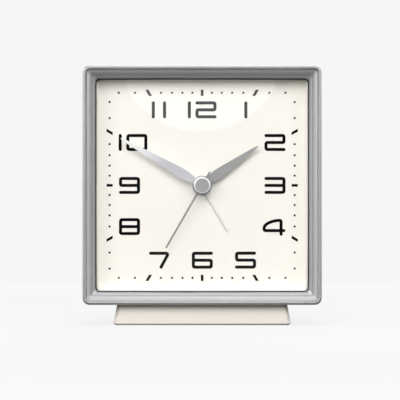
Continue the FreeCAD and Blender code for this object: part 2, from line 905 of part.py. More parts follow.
def make_dial():
    body = new_body("dial_plate")

    def outline(sketch):
        draw_rounded(sketch, inlay_half, inlay_half, s.seat_corner)
        draw_disc(sketch, bush_radius + s.fit_gap)

    add_slab(body, "dial_sheet", dial_front, dial_back, outline)
    keep(body, "dial_plate")

    nut = new_body("dial_nut")

    def ring(sketch):
        draw_disc(sketch, s.nut_radius)
        draw_disc(sketch, bush_radius)

    add_slab(nut, "nut_ring", dial_front - s.nut_thickness, dial_front, ring)
    keep(nut, "dial_nut")


def stroke_wire(points, corner):
    """A line through the points, with its corners rounded."""
    edges = []
    last = points[0]
    for before, at, after in zip(points, points[1:], points[2:]):
        back, onward = (before - at).normalize(), (after - at).normalize()
        half_turn = back.getAngle(onward) / 2
        if half_turn > math.radians(80):
            edges.append(Part.LineSegment(last, at).toShape())
            last = at
            continue
        reach = corner / math.tan(half_turn)
        start, end = at + back * reach, at + onward * reach
        inward = (back + onward).normalize() * (corner / math.sin(half_turn) - corner)
        edges.append(Part.LineSegment(last, start).toShape())
        edges.append(Part.Arc(start, at + inward, end).toShape())
        last = end
    edges.append(Part.LineSegment(last, points[-1]).toShape())
    return Part.Wire(edges)


def straight_outline(start, end, pen):
    """The outline of a straight stroke with round ends."""
    ahead = (end - start).normalize() * pen
    side = ahead.cross(FreeCAD.Vector(0, 1, 0))
    return Part.Wire([
        Part.LineSegment(start + side, end + side).toShape(),
        Part.Arc(end + side, end + ahead, end - side).toShape(),
        Part.LineSegment(end - side, start - side).toShape(),
        Part.Arc(start - side, start - ahead, start + side).toShape(),
    ])


def stroke_solid(points, depth):
    """A printed pen stroke along the points, standing forward from one depth."""
    pen = s.numeral_stroke.value / 2
    path = [FreeCAD.Vector(x, y_of(depth).value, z) for x, z in points]
    forward = FreeCAD.Vector(0, -s.print_thickness.value, 0)
    if len(path) == 2:
        outline = straight_outline(path[0], path[1], pen)
    else:
        outline = stroke_wire(path, s.numeral_corner.value).makeOffset2D(pen, 0, False, False)
    return Part.Face(outline).extrude(forward)


def four_strokes():
    """The strokes of a four: a stem, a bar, and a quarter-oval shoulder between them."""
    rise = 1.0 - FOUR_SHOULDER_SHARE
    shoulder = []
    for step in range(FOUR_CURVE_STEP_COUNT + 1):
        turn = math.pi / 2 * step / FOUR_CURVE_STEP_COUNT
        shoulder.append(
            (FOUR_STEM_SHARE * (1 - math.cos(turn)), FOUR_SHOULDER_SHARE + rise * math.sin(turn))
        )
    stem = [(FOUR_STEM_SHARE, 0.0), (FOUR_STEM_SHARE, 0.5)]
    bar = [(1.0, FOUR_BAR_SHARE), (0.5, FOUR_BAR_SHARE)]
    loop = [(FOUR_STEM_SHARE, 0.5)] + shoulder[::-1] + [(0.0, FOUR_BAR_SHARE), (0.5, FOUR_BAR_SHARE)]
    return (stem, loop, bar)


def digit_solid(digit, left, bottom):
    wide = (s.numeral_width.value - s.numeral_stroke.value) * DIGIT_WIDTH_SHARES.get(digit, 1.0)
    tall = s.numeral_height.value - s.numeral_stroke.value
    strokes = four_strokes() if digit == "4" else DIGIT_STROKE_SHARES[digit]
    made = [
        stroke_solid([(left + a * wide, bottom + b * tall) for a, b in stroke], dial_front)
        for stroke in strokes
    ]
    whole = made[0].multiFuse(made[1:]) if made[1:] else made[0]
    return whole.removeSplitter().Solids


def make_numerals():
    wide = s.numeral_width.value - s.numeral_stroke.value
    tall = s.numeral_height.value - s.numeral_stroke.value
    solids = []
    for text, (across_share, up_share) in NUMERAL_PLACE_SHARES.items():
        widths = [wide * DIGIT_WIDTH_SHARES.get(digit, 1.0) for digit in text]
        gaps = [s.numeral_spacing.value * PAIR_SPACING_SHARES[text]] if len(text) == 2 else []
        span = sum(widths) + sum(gaps)
        left = across_share * track_half.value - span / 2
        bottom = arbor_z.value + up_share * track_half.value - tall / 2
        for digit, width, gap in zip(text, widths, gaps + [0.0]):
            solids.extend(digit_solid(digit, left, bottom))
            left += width + gap
    solid_piece("dial_numerals", Part.makeCompound(solids))


def track_point(angle, half):
    """Where a ray from the arbor, clockwise from twelve, meets a square of that half side."""
    x, z = math.sin(angle), math.cos(angle)
    reach = half / max(abs(x), abs(z))
    return x * reach, z * reach


def make_ticks():
    """Twelve hour bars, each along its ray, cut parallel to the square minute track."""
    solids = []
    half = track_half.value
    front, back = dial_front - s.print_thickness, dial_front
    outer, inner = track_half + s.tick_length / 2, track_half - s.tick_length / 2
    frame = block(-outer, outer, front, back, arbor_z - outer, arbor_z + outer)
    frame = frame.cut(block(-inner, inner, front, back, arbor_z - inner, arbor_z + inner))
    for hour in range(HOUR_COUNT):
        turn = HALF_TURN * 2 * hour / HOUR_COUNT
        angle = math.radians(turn)
        x, z = track_point(angle, half)
        reach = math.hypot(x, z)
        bar = Part.makeBox(
            s.tick_width.value, s.print_thickness.value, s.tick_length.value * 2,
            FreeCAD.Vector(-s.tick_width.value / 2, y_of(front).value, reach - s.tick_length.value),
        )
        bar.rotate(FreeCAD.Vector(0, 0, 0), FreeCAD.Vector(0, 1, 0), turn)
        bar.translate(FreeCAD.Vector(0, 0, arbor_z.value))
        solids.extend(bar.common(frame).Solids)
    solid_piece("dial_hour_ticks", Part.makeCompound(solids))


def make_dots():
    solids = []
    for minute in range(MINUTE_COUNT):
        if minute % (MINUTE_COUNT // HOUR_COUNT):
            x, z = track_point(2 * math.pi * minute / MINUTE_COUNT, track_half.value)
            centre = FreeCAD.Vector(x, y_of(dial_front - s.print_thickness).value, arbor_z.value + z)
            solids.append(
                Part.makeCylinder(
                    s.dot_radius.value, s.print_thickness.value, centre, FreeCAD.Vector(0, 1, 0)
                )
            )
    solid_piece("dial_minute_dots", Part.makeCompound(solids))


# hands, each drawn pointing to twelve and then turned to its angle


def turn_hand(body, angle):
    """Turns a hand about the arbor, clockwise as seen from the front."""
    body.Placement.Rotation = FreeCAD.Rotation(FreeCAD.Vector(0, 1, 0), angle.value)
    bind(body, "Placement.Rotation.Angle", angle)
    bind(body, "Placement.Base.x", -(arbor_z * sine(angle)))
    bind(body, "Placement.Base.z", arbor_z - arbor_z * cosine(angle))


def leaf_points(neck_reach, neck_half, blade_reach, blade_half, length):
    """A leaf-shaped blade that swells past its neck and tapers to a narrow tip."""
    return [
        (-neck_half, arbor_z),
        (neck_half, arbor_z),
        (neck_half, arbor_z + neck_reach),
        (blade_half, arbor_z + blade_reach),
        (s.blade_tip_half, arbor_z + length),
        (-s.blade_tip_half, arbor_z + length),
        (-blade_half, arbor_z + blade_reach),
        (-neck_half, arbor_z + neck_reach),
    ]


def make_leaf_hand(label, blade, lift, hub_radius, bore, angle):
    body = new_body(label)
    front = dial_front - lift
    add_slab(body, label + "_blade", front, front + s.hand_thickness,
             lambda k: draw_polygon(k, leaf_points(*blade)))
    shoulder = (arbor_z + blade[2]).value

    def at_shoulder(edge):
        box = edge.BoundBox
        upright = box.YMax - box.YMin > s.hand_thickness.value / 2
        return upright and abs(box.ZMin - shoulder) < TOUCH and abs(box.ZMax - shoulder) < TOUCH

    dress(body, "PartDesign::Fillet", label + "_shoulder", s.blade_round, at_shoulder)
    add_slab(body, label + "_hub", front, front + s.hub_height, lambda k: draw_disc(k, hub_radius))
    cut_slab(body, label + "_bore", front, front + s.hub_height, lambda k: draw_disc(k, bore))
    turn_hand(body, angle)
    return keep(body, label)


def make_hands():
    hour_blade = (s.hour_neck_reach, s.hour_neck_half, s.hour_blade_reach, s.hour_blade_half,
                  hour_hand_length)
    minute_blade = (s.minute_neck_reach, s.minute_neck_half, s.minute_blade_reach,
                    s.minute_blade_half, minute_hand_length)
    make_leaf_hand("hour_hand", hour_blade, s.hour_hand_lift, s.hour_hub_radius, hour_pipe,
                   s.hour_hand_angle)
    make_leaf_hand("minute_hand", minute_blade, s.minute_hand_lift, s.minute_hub_radius,
                   minute_pipe, s.minute_hand_angle)

    def baton(tail, length, root_half, tip_half):
        return [
            (-root_half, arbor_z - tail),
            (root_half, arbor_z - tail),
            (tip_half, arbor_z + length),
            (-tip_half, arbor_z + length),
        ]

    alarm = new_body("alarm_hand")
    front = dial_front - s.alarm_hand_lift
    alarm_outline = baton(ZERO, alarm_hand_length, s.alarm_hand_half, s.alarm_tip_half)
    add_slab(alarm, "alarm_baton", front, front + s.hand_thickness,
             lambda k: draw_polygon(k, alarm_outline))
    add_slab(alarm, "alarm_hub", front, front + s.hand_thickness,
             lambda k: draw_disc(k, s.alarm_hub_radius))
    cut_slab(alarm, "alarm_bore", front, front + s.hand_thickness,
             lambda k: draw_disc(k, alarm_pipe))
    turn_hand(alarm, s.alarm_hand_angle)
    keep(alarm, "alarm_hand")

    second = new_body("second_hand")
    front = dial_front - s.second_hand_lift
    second_outline = baton(s.second_tail_length, second_hand_length, s.second_hand_half,
                           s.second_tip_half)
    add_slab(second, "second_needle", front, front + s.hand_thickness,
             lambda k: draw_polygon(k, second_outline))
    add_slab(second, "second_hub", front, front + s.hand_thickness,
             lambda k: draw_disc(k, s.second_hub_radius))
    cut_slab(second, "second_bore", front, front + s.hand_thickness,
             lambda k: draw_disc(k, s.second_arbor_radius))
    turn_hand(second, s.second_hand_angle)
    keep(second, "second_hand")

    cap = new_body("second_hand_cap")
    add_slab(cap, "cap_disc", front - s.cap_height, front, lambda k: draw_disc(k, s.cap_radius))
    dress(cap, "PartDesign::Chamfer", "cap_edge", s.cap_bevel, at_depth(front - s.cap_height))
    keep(cap, "second_hand_cap")


# gears


def teeth_solid(count, module, turn, front, back, place):
    """A toothed disc: count teeth of one module, with a tooth at the angle turn."""
    small = count <= SHORT_TOOTH_COUNT
    addendum, dedendum, half_tooth, half_tip = PINION_TOOTH_SHARES if small else WHEEL_TOOTH_SHARES
    pitch_radius = module * count / 2
    root, tip = pitch_radius - dedendum * module, pitch_radius + addendum * module
    pitch = 2 * math.pi / count
    points = []
    for number in range(count):
        middle = math.radians(turn) + number * pitch
        flank = (
            (root, -half_tooth), (pitch_radius, -half_tooth), (tip, -half_tip),
            (tip, half_tip), (pitch_radius, half_tooth), (root, half_tooth),
        )
        for radius, share in flank:
            angle = middle + share * pitch
            points.append(
                FreeCAD.Vector(
                    place[0].value + radius * math.cos(angle),
                    y_of(front).value,
                    place[1].value + radius * math.sin(angle),
                )
            )
    outline = Part.makePolygon(points + points[:1])
    return Part.Face(outline).extrude(FreeCAD.Vector(0, back.value - front.value, 0))


def meshing_turn(count, turn, direction, other_count):
    """The angle of a tooth on a second gear, set so that it meshes with the first."""
    phase = count * (turn - direction) + HALF_TURN
    return direction + HALF_TURN - phase / other_count


def gear(name, module, turn, layer, place):
    front, back = layer_front(layer), layer_back(layer)
    return teeth_solid(teeth(name), module.value, turn, front, back, place)


def joined(*solids):
    return solids[0].multiFuse(list(solids[1:])).removeSplitter()


def make_gears():
    pivot_front = plate_back - s.pivot_inset
    pivot_back = housing_inner_back + s.pivot_inset
    third_way, step_way = s.third_direction.value, s.step_direction.value
    rotor_way, motion_way = s.rotor_direction.value, s.motion_direction.value
    setting_way, alarm_way = s.setting_direction.value, s.alarm_direction.value

    second_pinion_turn = 0.0
    second_wheel_turn = 0.0
    third_turn = meshing_turn(teeth("second_pinion"), second_pinion_turn, third_way,
                              teeth("third_wheel"))
    centre_turn = meshing_turn(teeth("third_pinion"), third_turn, third_way + HALF_TURN,
                               teeth("centre_wheel"))
    step_turn = meshing_turn(teeth("second_wheel"), second_wheel_turn, step_way, teeth("step_pinion"))
    rotor_turn = meshing_turn(teeth("step_wheel"), step_turn, rotor_way, teeth("rotor_pinion"))
    cannon_turn = 0.0
    motion_turn = meshing_turn(teeth("cannon_pinion"), cannon_turn, motion_way, teeth("motion_wheel"))
    hour_turn = meshing_turn(teeth("motion_pinion"), motion_turn, motion_way + HALF_TURN,
                             teeth("hour_wheel"))
    setting_turn = meshing_turn(teeth("motion_wheel"), motion_turn, setting_way,
                                teeth("setting_pinion"))
    alarm_turn = 0.0
    idler_turn = meshing_turn(teeth("alarm_wheel"), alarm_turn, alarm_way, teeth("alarm_idler"))
    alarm_set_turn = meshing_turn(teeth("alarm_idler"), idler_turn, alarm_way, teeth("alarm_pinion"))

    solid_piece("second_wheel", joined(
        rod(s.second_arbor_radius, dial_front - s.second_hand_lift, pivot_back),
        gear("second_wheel", second_module, second_wheel_turn, SECOND_LAYER, arbor),
        gear("second_pinion", third_module, second_pinion_turn, THIRD_LAYER, arbor),
    ))
    solid_piece("third_wheel", joined(
        rod(s.arbor_radius, pivot_front, pivot_back, third_place),
        gear("third_wheel", third_module, third_turn, THIRD_LAYER, third_place),
        gear("third_pinion", centre_module, third_turn, CENTRE_LAYER, third_place),
    ))
    solid_piece("centre_wheel", gear("centre_wheel", centre_module, centre_turn, CENTRE_LAYER, arbor).cut(
        rod(minute_pipe + s.running_gap, layer_front(CENTRE_LAYER), layer_back(CENTRE_LAYER))
    ))
    solid_piece("step_wheel", joined(
        rod(s.arbor_radius, pivot_front, pivot_back, step_place),
        gear("step_wheel", step_module, step_turn, STEP_LAYER, step_place),
        gear("step_pinion", second_module, step_turn, SECOND_LAYER, step_place),
    ))
    magnet_front = layer_back(STEP_LAYER) + s.magnet_gap
    solid_piece("rotor_pinion", joined(
        rod(s.arbor_radius, pivot_front, pivot_back, rotor_place),
        gear("rotor_pinion", step_module, rotor_turn, STEP_LAYER, rotor_place),
    ))
    solid_piece("rotor_magnet", pipe(
        s.magnet_radius, s.arbor_radius, magnet_front, magnet_front + s.magnet_length, rotor_place
    ))
    minute_front = dial_front - s.minute_hand_lift
    solid_piece("cannon_pinion", joined(
        rod(minute_pipe, minute_front, layer_back(CENTRE_LAYER)),
        gear("cannon_pinion", cannon_module, cannon_turn, MINUTE_LAYER, arbor),
    ).cut(rod(minute_bore, minute_front, layer_back(CENTRE_LAYER))))
    solid_piece("motion_wheel", joined(
        gear("motion_wheel", cannon_module, motion_turn, MINUTE_LAYER, motion_place),
        gear("motion_pinion", hour_module, motion_turn, HOUR_LAYER, motion_place),
        rod(s.stud_radius * 2, layer_front(HOUR_LAYER), layer_back(MINUTE_LAYER), motion_place),
    ).cut(rod(s.stud_radius + s.running_gap, layer_front(HOUR_LAYER), layer_back(MINUTE_LAYER),
              motion_place)))
    hour_front = dial_front - s.hour_hand_lift
    solid_piece("hour_wheel", joined(
        rod(hour_pipe, hour_front, layer_back(HOUR_LAYER)),
        gear("hour_wheel", hour_module, hour_turn, HOUR_LAYER, arbor),
    ).cut(rod(hour_bore, hour_front, layer_back(HOUR_LAYER))))
    alarm_front = dial_front - s.alarm_hand_lift
    solid_piece("alarm_wheel", joined(
        rod(alarm_pipe, alarm_front, layer_back(ALARM_LAYER)),
        gear("alarm_wheel", alarm_module, alarm_turn, ALARM_LAYER, arbor),
    ).cut(rod(alarm_bore, alarm_front, layer_back(ALARM_LAYER))))
    solid_piece("alarm_idler", gear("alarm_idler", alarm_module, idler_turn, ALARM_LAYER, idler_place).cut(
        rod(s.stud_radius + s.running_gap, layer_front(ALARM_LAYER), layer_back(ALARM_LAYER), idler_place)
    ))
    knob_end = case_depth + s.knob_gap + s.knob_height - s.knob_bevel * 2
    solid_piece("alarm_set_gear", joined(
        rod(s.setting_shaft_radius, pivot_front, knob_end, alarm_set_place),
        gear("alarm_pinion", alarm_module, alarm_set_turn, ALARM_LAYER, alarm_set_place),
    ))
    solid_piece("time_set_gear", joined(
        rod(s.setting_shaft_radius, pivot_front, knob_end, setting_place),
        gear("setting_pinion", cannon_module, setting_turn, MINUTE_LAYER, setting_place),
    ))


# movement case


def pivot_holes(sketch):
    for place in (third_place, step_place, rotor_place):
        draw_disc(sketch, s.arbor_radius + s.running_gap, place)


def shaft_holes(sketch, gap):
    for place in (setting_place, alarm_set_place):
        draw_disc(sketch, s.setting_shaft_radius + gap, place)


movement_screw_place = s.movement_half - s.movement_post_inset


def movement_screw_holes(sketch):
    for across in (-movement_screw_place, movement_screw_place):
        for up in (arbor_z - movement_screw_place, arbor_z + movement_screw_place):
            draw_disc(sketch, s.movement_screw_radius, (across, up))


def make_movement_case():
    plate = new_body("movement_front_plate")
    bush_front = dial_front - s.nut_thickness
    add_slab(plate, "plate", dial_back, plate_back,
             lambda k: draw_rounded(k, s.movement_half, s.movement_half, s.movement_corner))
    add_slab(plate, "bush", bush_front, dial_back, lambda k: draw_disc(k, bush_radius))
    add_slab(plate, "motion_stud", plate_back, layer_back(MINUTE_LAYER),
             lambda k: draw_disc(k, s.stud_radius, motion_place))
    add_slab(plate, "idler_stud", plate_back, layer_back(ALARM_LAYER),
             lambda k: draw_disc(k, s.stud_radius, idler_place))
    cut_slab(plate, "bush_bore", bush_front, plate_back, lambda k: draw_disc(k, bush_bore))
    pivot_front = plate_back - s.pivot_inset
    cut_slab(plate, "plate_pivots", pivot_front, plate_back, pivot_holes)
    cut_slab(plate, "plate_shaft_pivots", pivot_front, plate_back,
             lambda k: shaft_holes(k, s.running_gap))
    cut_slab(plate, "plate_screw_holes", dial_back, plate_back, movement_screw_holes)
    keep(plate, "movement_front_plate")

    housing = new_body("movement_rear_housing")
    add_slab(housing, "housing_block", plate_back, housing_back,
             lambda k: draw_rounded(k, s.movement_half, s.movement_half, s.movement_corner))
    cut_slab(housing, "housing_room", plate_back, housing_inner_back,
             lambda k: draw_rounded(k, housing_inner_half, housing_inner_half, s.housing_wall))

    def posts(sketch):
        for across in (-movement_screw_place, movement_screw_place):
            for up in (arbor_z - movement_screw_place, arbor_z + movement_screw_place):
                draw_rounded(sketch, s.movement_post_half, s.movement_post_half, s.slot_round,
                             (across, up))

    add_slab(housing, "screw_posts", plate_back, housing_back - s.housing_wall / 2, posts)

    def board_posts(sketch):
        radius = s.support_post_radius
        for across in (circuit_left + radius * 2, circuit_right - radius):
            draw_disc(sketch, radius, (across, (circuit_top + circuit_bottom) / 2))

    post_back = housing_inner_back + s.housing_wall / 2
    add_slab(housing, "board_posts", circuit_board_back, post_back, board_posts)

    def stator_posts(sketch):
        left = rotor_place[0] - s.core_reach + s.support_post_radius
        right = s.stator_right_reach - s.support_post_radius
        for across in (left, right):
            draw_disc(sketch, s.support_post_radius,
                      (across, rotor_place[1] + s.stator_half - s.support_post_radius))

    add_slab(housing, "stator_posts", stator_front + s.stator_thickness, post_back, stator_posts)

    def arbor_pivots(sketch):
        pivot_holes(sketch)
        draw_disc(sketch, s.second_arbor_radius + s.running_gap)

    cut_slab(housing, "housing_pivots", housing_inner_back, housing_back, arbor_pivots)
    cut_slab(housing, "housing_shaft_holes", housing_inner_back, housing_back,
             lambda k: shaft_holes(k, s.running_gap))
    cut_slab(housing, "housing_screw_holes", plate_back, housing_back, movement_screw_holes)

    def link_holes(sketch):
        for place in link_places:
            draw_disc(sketch, s.lead_radius + s.link_hole_gap, place)

    cut_slab(housing, "link_holes", housing_inner_back, housing_back, link_holes)
    keep(housing, "movement_rear_housing")
    reach = housing_back - dial_back - s.pivot_inset
    screw_set("movement_screws", corner_points(movement_screw_place, housing_back + s.movement_head_height),
              s.movement_screw_radius, reach, s.movement_head_radius, s.movement_head_height, FORWARD)


def make_motor():
    stator = new_body("stator_plate")
    axis_z = rotor_place[1]
    core_left = s.stator_end_width - motor_side
    plate_left = rotor_place[0] - s.core_reach

    def outline(sketch):
        draw_polygon(sketch, [
            (plate_left, axis_z - s.stator_half),
            (s.stator_right_reach, axis_z - s.stator_half),
            (s.stator_right_reach, axis_z + s.stator_half),
            (plate_left, axis_z + s.stator_half),
            (plate_left, axis_z + s.core_half),
            (core_left, axis_z + s.core_half),
            (core_left, axis_z + s.stator_half),
            (-motor_side, axis_z + s.stator_half),
            (-motor_side, axis_z - s.stator_half),
            (core_left, axis_z - s.stator_half),
            (core_left, axis_z - s.core_half),
            (plate_left, axis_z - s.core_half),
        ])
        draw_disc(sketch, s.magnet_radius + s.stator_gap, rotor_place)

    add_slab(stator, "stator_sheet", stator_front, stator_front + s.stator_thickness, outline)
    keep(stator, "stator_plate")

    left = core_left.value + s.bobbin_inset.value
    right = plate_left.value - s.bobbin_inset.value
    middle_y = y_of(stator_front + s.stator_thickness / 2).value

    def along(radius, start, end):
        base = FreeCAD.Vector(start, middle_y, axis_z.value)
        return Part.makeCylinder(radius.value, end - start, base, FreeCAD.Vector(1, 0, 0))

    core = block(core_left, plate_left, stator_front, stator_front + s.stator_thickness,
                 axis_z - s.core_half, axis_z + s.core_half)
    flange = s.bobbin_flange.value
    bobbin = joined(
        along(s.bobbin_hub, left, right),
        along(s.bobbin_radius, left, left + flange),
        along(s.bobbin_radius, right - flange, right),
    ).cut(core)
    solid_piece("coil_bobbin", bobbin)
    winding = along(s.bobbin_radius - s.winding_gap, left + flange, right - flange)
    solid_piece("coil_winding", winding.cut(along(s.bobbin_hub, left + flange, right - flange)))


def make_circuit():
    front = layer_back(STEP_LAYER) + s.magnet_gap
    board = new_body("circuit_board")
    outline = [
        (circuit_left, circuit_bottom),
        (circuit_right, circuit_bottom),
        (circuit_right, circuit_top),
        (circuit_left, circuit_top),
    ]
    add_slab(board, "board_sheet", front, front + s.board_thickness,
             lambda k: draw_polygon(k, outline))
    keep(board, "circuit_board")
    middle_z = (circuit_top + circuit_bottom) / 2
    chip_left = circuit_right - s.chip_side * 1.5
    solid_piece("circuit_chip", block(
        chip_left, chip_left + s.chip_side, front - s.chip_height, front,
        middle_z - s.chip_side / 2, middle_z + s.chip_side / 2,
    ))
    can_start = FreeCAD.Vector((circuit_left + s.crystal_radius).value,
                               y_of(front - s.crystal_radius).value, middle_z.value)
    solid_piece("quartz_crystal", Part.makeCylinder(
        s.crystal_radius.value, s.crystal_length.value, can_start, FreeCAD.Vector(1, 0, 0)
    ))
    low = arbor_z + s.contact_height
    contact_left = s.contact_inset - motor_side
    contact_right = contact_left + s.contact_length
    strip = block(contact_left, contact_right, plate_back, plate_back + s.contact_thickness,
                  low, low + s.contact_width)
    finger = block(contact_right - s.contact_thickness, contact_right, plate_back,
                   plate_back + s.contact_stand, low, low + s.contact_width)
    solid_piece("alarm_contact", joined(strip, finger))


# rear cover and what it carries


bay_z = arbor_z - shell_inner_half + s.bay_rise + bay_height / 2
door_front = case_depth - s.door_thickness
bay_front = door_front - s.bay_depth
bay_top = bay_z + s.bay_half_height + s.bay_wall
control_x = -s.control_place
switch_z = arbor_z - s.switch_drop
button_z = arbor_z - s.button_drop
sounder_place = (control_x, arbor_z + s.sounder_rise)


def hexagon_places(middle, pitch, rings):
    """Points on a triangular grid, in rings about a middle point."""
    places = []
    for row in range(-rings, rings + 1):
        count = 2 * rings + 1 - abs(row)
        for column in range(count):
            across = pitch * (column - (count - 1) / 2)
            places.append((middle[0] + across, middle[1] + pitch * (row * math.sqrt(3) / 2)))
    return places


def make_rear_cover():
    body = new_body("rear_cover")
    cover_half = shell_inner_half - s.fit_gap
    add_slab(body, "cover_sheet", cover_front, case_depth,
             lambda k: draw_rounded(k, cover_half, cover_half, s.seat_corner))
    outer_x, outer_z = s.bay_half_length + s.bay_wall, s.bay_half_height + s.bay_wall
    add_slab(body, "bay_block", bay_front - s.bay_wall, cover_front,
             lambda k: draw_rounded(k, outer_x, outer_z, s.slot_round, (ZERO, bay_z)))
    cut_slab(body, "bay_room", bay_front, case_depth,
             lambda k: draw_rounded(k, s.bay_half_length, s.bay_half_height, s.slot_round,
                                    (ZERO, bay_z)))
    cut_slab(body, "door_rebate", door_front, case_depth,
             lambda k: draw_rounded(k, s.bay_half_length + s.door_overlap,
                                    s.bay_half_height + s.door_overlap, s.door_corner,
                                    (ZERO, bay_z)))

    def tab_slots(sketch):
        middle = s.bay_half_length - s.contact_plate / 2
        for across in (-middle, middle):
            draw_rounded(sketch, s.contact_plate / 2 + s.tab_gap,
                         (bay_top - bay_z) / 2 + s.overrun, s.tab_gap,
                         (across, (bay_top + bay_z) / 2 + s.overrun))

    cut_slab(body, "tab_slots", control_board_middle - s.tab_half - s.tab_gap,
             control_board_middle + s.tab_half + s.tab_gap, tab_slots)

    def control_posts(sketch):
        reach = s.control_board_half_width - s.control_post_radius * 1.5
        for across in (control_x - reach, control_x + reach):
            for up in (arbor_z + s.control_board_top - s.control_post_radius * 1.5,
                       arbor_z - s.control_board_bottom + s.control_post_radius * 1.5):
                draw_disc(sketch, s.control_post_radius, (across, up))

    add_slab(body, "control_posts", board_back_depth, cover_front, control_posts)
    cut_slab(body, "cover_shaft_holes", cover_front, case_depth,
             lambda k: shaft_holes(k, s.shaft_hole_gap))
    slot_up = s.switch_stem_half + s.switch_travel / 2 + s.slot_gap
    cut_slab(body, "switch_slot", cover_front, case_depth,
             lambda k: draw_rounded(k, s.switch_stem_half + s.slot_gap, slot_up, s.slot_round,
                                    (control_x, switch_z)))
    cut_slab(body, "button_hole", cover_front, case_depth,
             lambda k: draw_disc(k, s.button_radius + s.button_gap, (control_x, button_z)))

    def sound_holes(sketch):
        for place in hexagon_places(sounder_place, s.sound_hole_pitch, SOUND_HOLE_RING_COUNT):
            draw_disc(sketch, s.sound_hole_radius, place)

    cut_slab(body, "sound_holes", cover_front, case_depth, sound_holes)

    def screw_holes(radius):
        def draw(sketch):
            for across in (-post_place, post_place):
                for up in (arbor_z - post_place, arbor_z + post_place):
                    draw_disc(sketch, radius, (across, up))
        return draw

    cut_slab(body, "cover_screw_holes", cover_front, case_depth, screw_holes(s.screw_radius))
    cut_slab(body, "cover_counterbores", case_depth - s.screw_head_height, case_depth,
             screw_holes(s.screw_head_radius))
    keep(body, "rear_cover")
    screw_set("rear_cover_screws", corner_points(post_place, case_depth), s.screw_radius,
              s.screw_length, s.screw_head_radius, s.screw_head_height, FORWARD)


def make_knob(label, radius, place):
    """A scalloped knob, pushed onto its shaft behind the cover."""
    body = new_body(label + "_blank")
    front, back = case_depth + s.knob_gap, case_depth + s.knob_gap + s.knob_height
    add_slab(body, label + "_disc", front, back, lambda k: draw_disc(k, radius, place))
    dress(body, "PartDesign::Chamfer", label + "_edge", s.knob_bevel, at_depth(back))
    cut_slab(body, label + "_bore", front, back - s.knob_bevel * 2,
             lambda k: draw_disc(k, s.setting_shaft_radius, place))
    doc.recompute()
    scallop = s.knob_scallop
    middle = front_point(place, front)
    cutters = []
    for number in range(KNOB_SCALLOP_COUNT):
        angle = 2 * math.pi * number / KNOB_SCALLOP_COUNT
        offset = FreeCAD.Vector(math.cos(angle), 0, math.sin(angle)) * (radius + scallop / 2).value
        cutters.append(Part.makeCylinder(
            scallop.value, (back - front).value, middle + offset, FreeCAD.Vector(0, 1, 0)
        ))
    tool = doc.addObject("Part::Feature", label + "_scallops")
    tool.Shape = Part.makeCompound(cutters)
    cut = doc.addObject("Part::Cut", label + "_cut")
    cut.Base = body
    cut.Tool = tool
    return keep(cut, label)


def make_controls():
    board = new_body("control_board")
    thickness = s.control_board_thickness
    left, right = control_x - s.control_board_half_width, control_x + s.control_board_half_width
    top, bottom = arbor_z + s.control_board_top, arbor_z - s.control_board_bottom
    add_slab(board, "control_board_sheet", board_back_depth - thickness, board_back_depth,
             lambda k: draw_polygon(k, [(left, bottom), (right, bottom), (right, top), (left, top)]))
    keep(board, "control_board")

    slider_front = cover_front - s.switch_slack - s.switch_base_thickness
    rest_z = switch_z - s.switch_travel / 2
    solid_piece("slide_switch", block(
        control_x - s.switch_base_half, control_x + s.switch_base_half,
        board_back_depth, slider_front - s.switch_slack,
        switch_z - s.slide_switch_half, switch_z + s.slide_switch_half,
    ))
    slider = new_body("alarm_switch")
    add_slab(slider, "slider_base", slider_front, cover_front - s.switch_slack,
             lambda k: draw_rounded(k, s.switch_base_half, s.switch_stem_half * 2, s.slot_round,
                                    (control_x, rest_z)))
    add_slab(slider, "slider_stem", cover_front - s.switch_slack, case_depth + s.switch_stand,
             lambda k: draw_rounded(k, s.switch_stem_half, s.switch_stem_half, s.slot_round,
                                    (control_x, rest_z)))
    keep(slider, "alarm_switch")

    button_place = (control_x, button_z)
    flange_back = cover_front - s.running_gap
    flange_front = flange_back - s.button_flange
    button = new_body("snooze_button")
    add_slab(button, "button_flange", flange_front, flange_back,
             lambda k: draw_disc(k, s.button_radius + s.button_gap * 2 + s.slot_round, button_place))
    add_slab(button, "button_stem", flange_back, case_depth + s.button_stand,
             lambda k: draw_disc(k, s.button_radius, button_place))
    dress(button, "PartDesign::Fillet", "button_edge", s.button_bevel,
          at_depth(case_depth + s.button_stand))
    keep(button, "snooze_button")
    plunger_tip = flange_front - s.button_travel - s.running_gap
    half = s.push_switch_half
    solid_piece("push_switch", joined(
        block(control_x - half, control_x + half, board_back_depth, plunger_tip - s.plunger_height,
              button_z - half, button_z + half),
        rod(s.plunger_radius, plunger_tip - s.plunger_height, plunger_tip, button_place),
    ))
    solid_piece("sounder_disc", joined(
        rod(s.sounder_radius, cover_front - s.sounder_thickness, cover_front, sounder_place),
        rod(s.sounder_radius / 2, cover_front - s.sounder_thickness * 1.5, cover_front, sounder_place),
    ))
    make_knob("time_set_knob", s.time_knob_radius, setting_place)
    make_knob("alarm_set_knob", s.alarm_knob_radius, alarm_set_place)


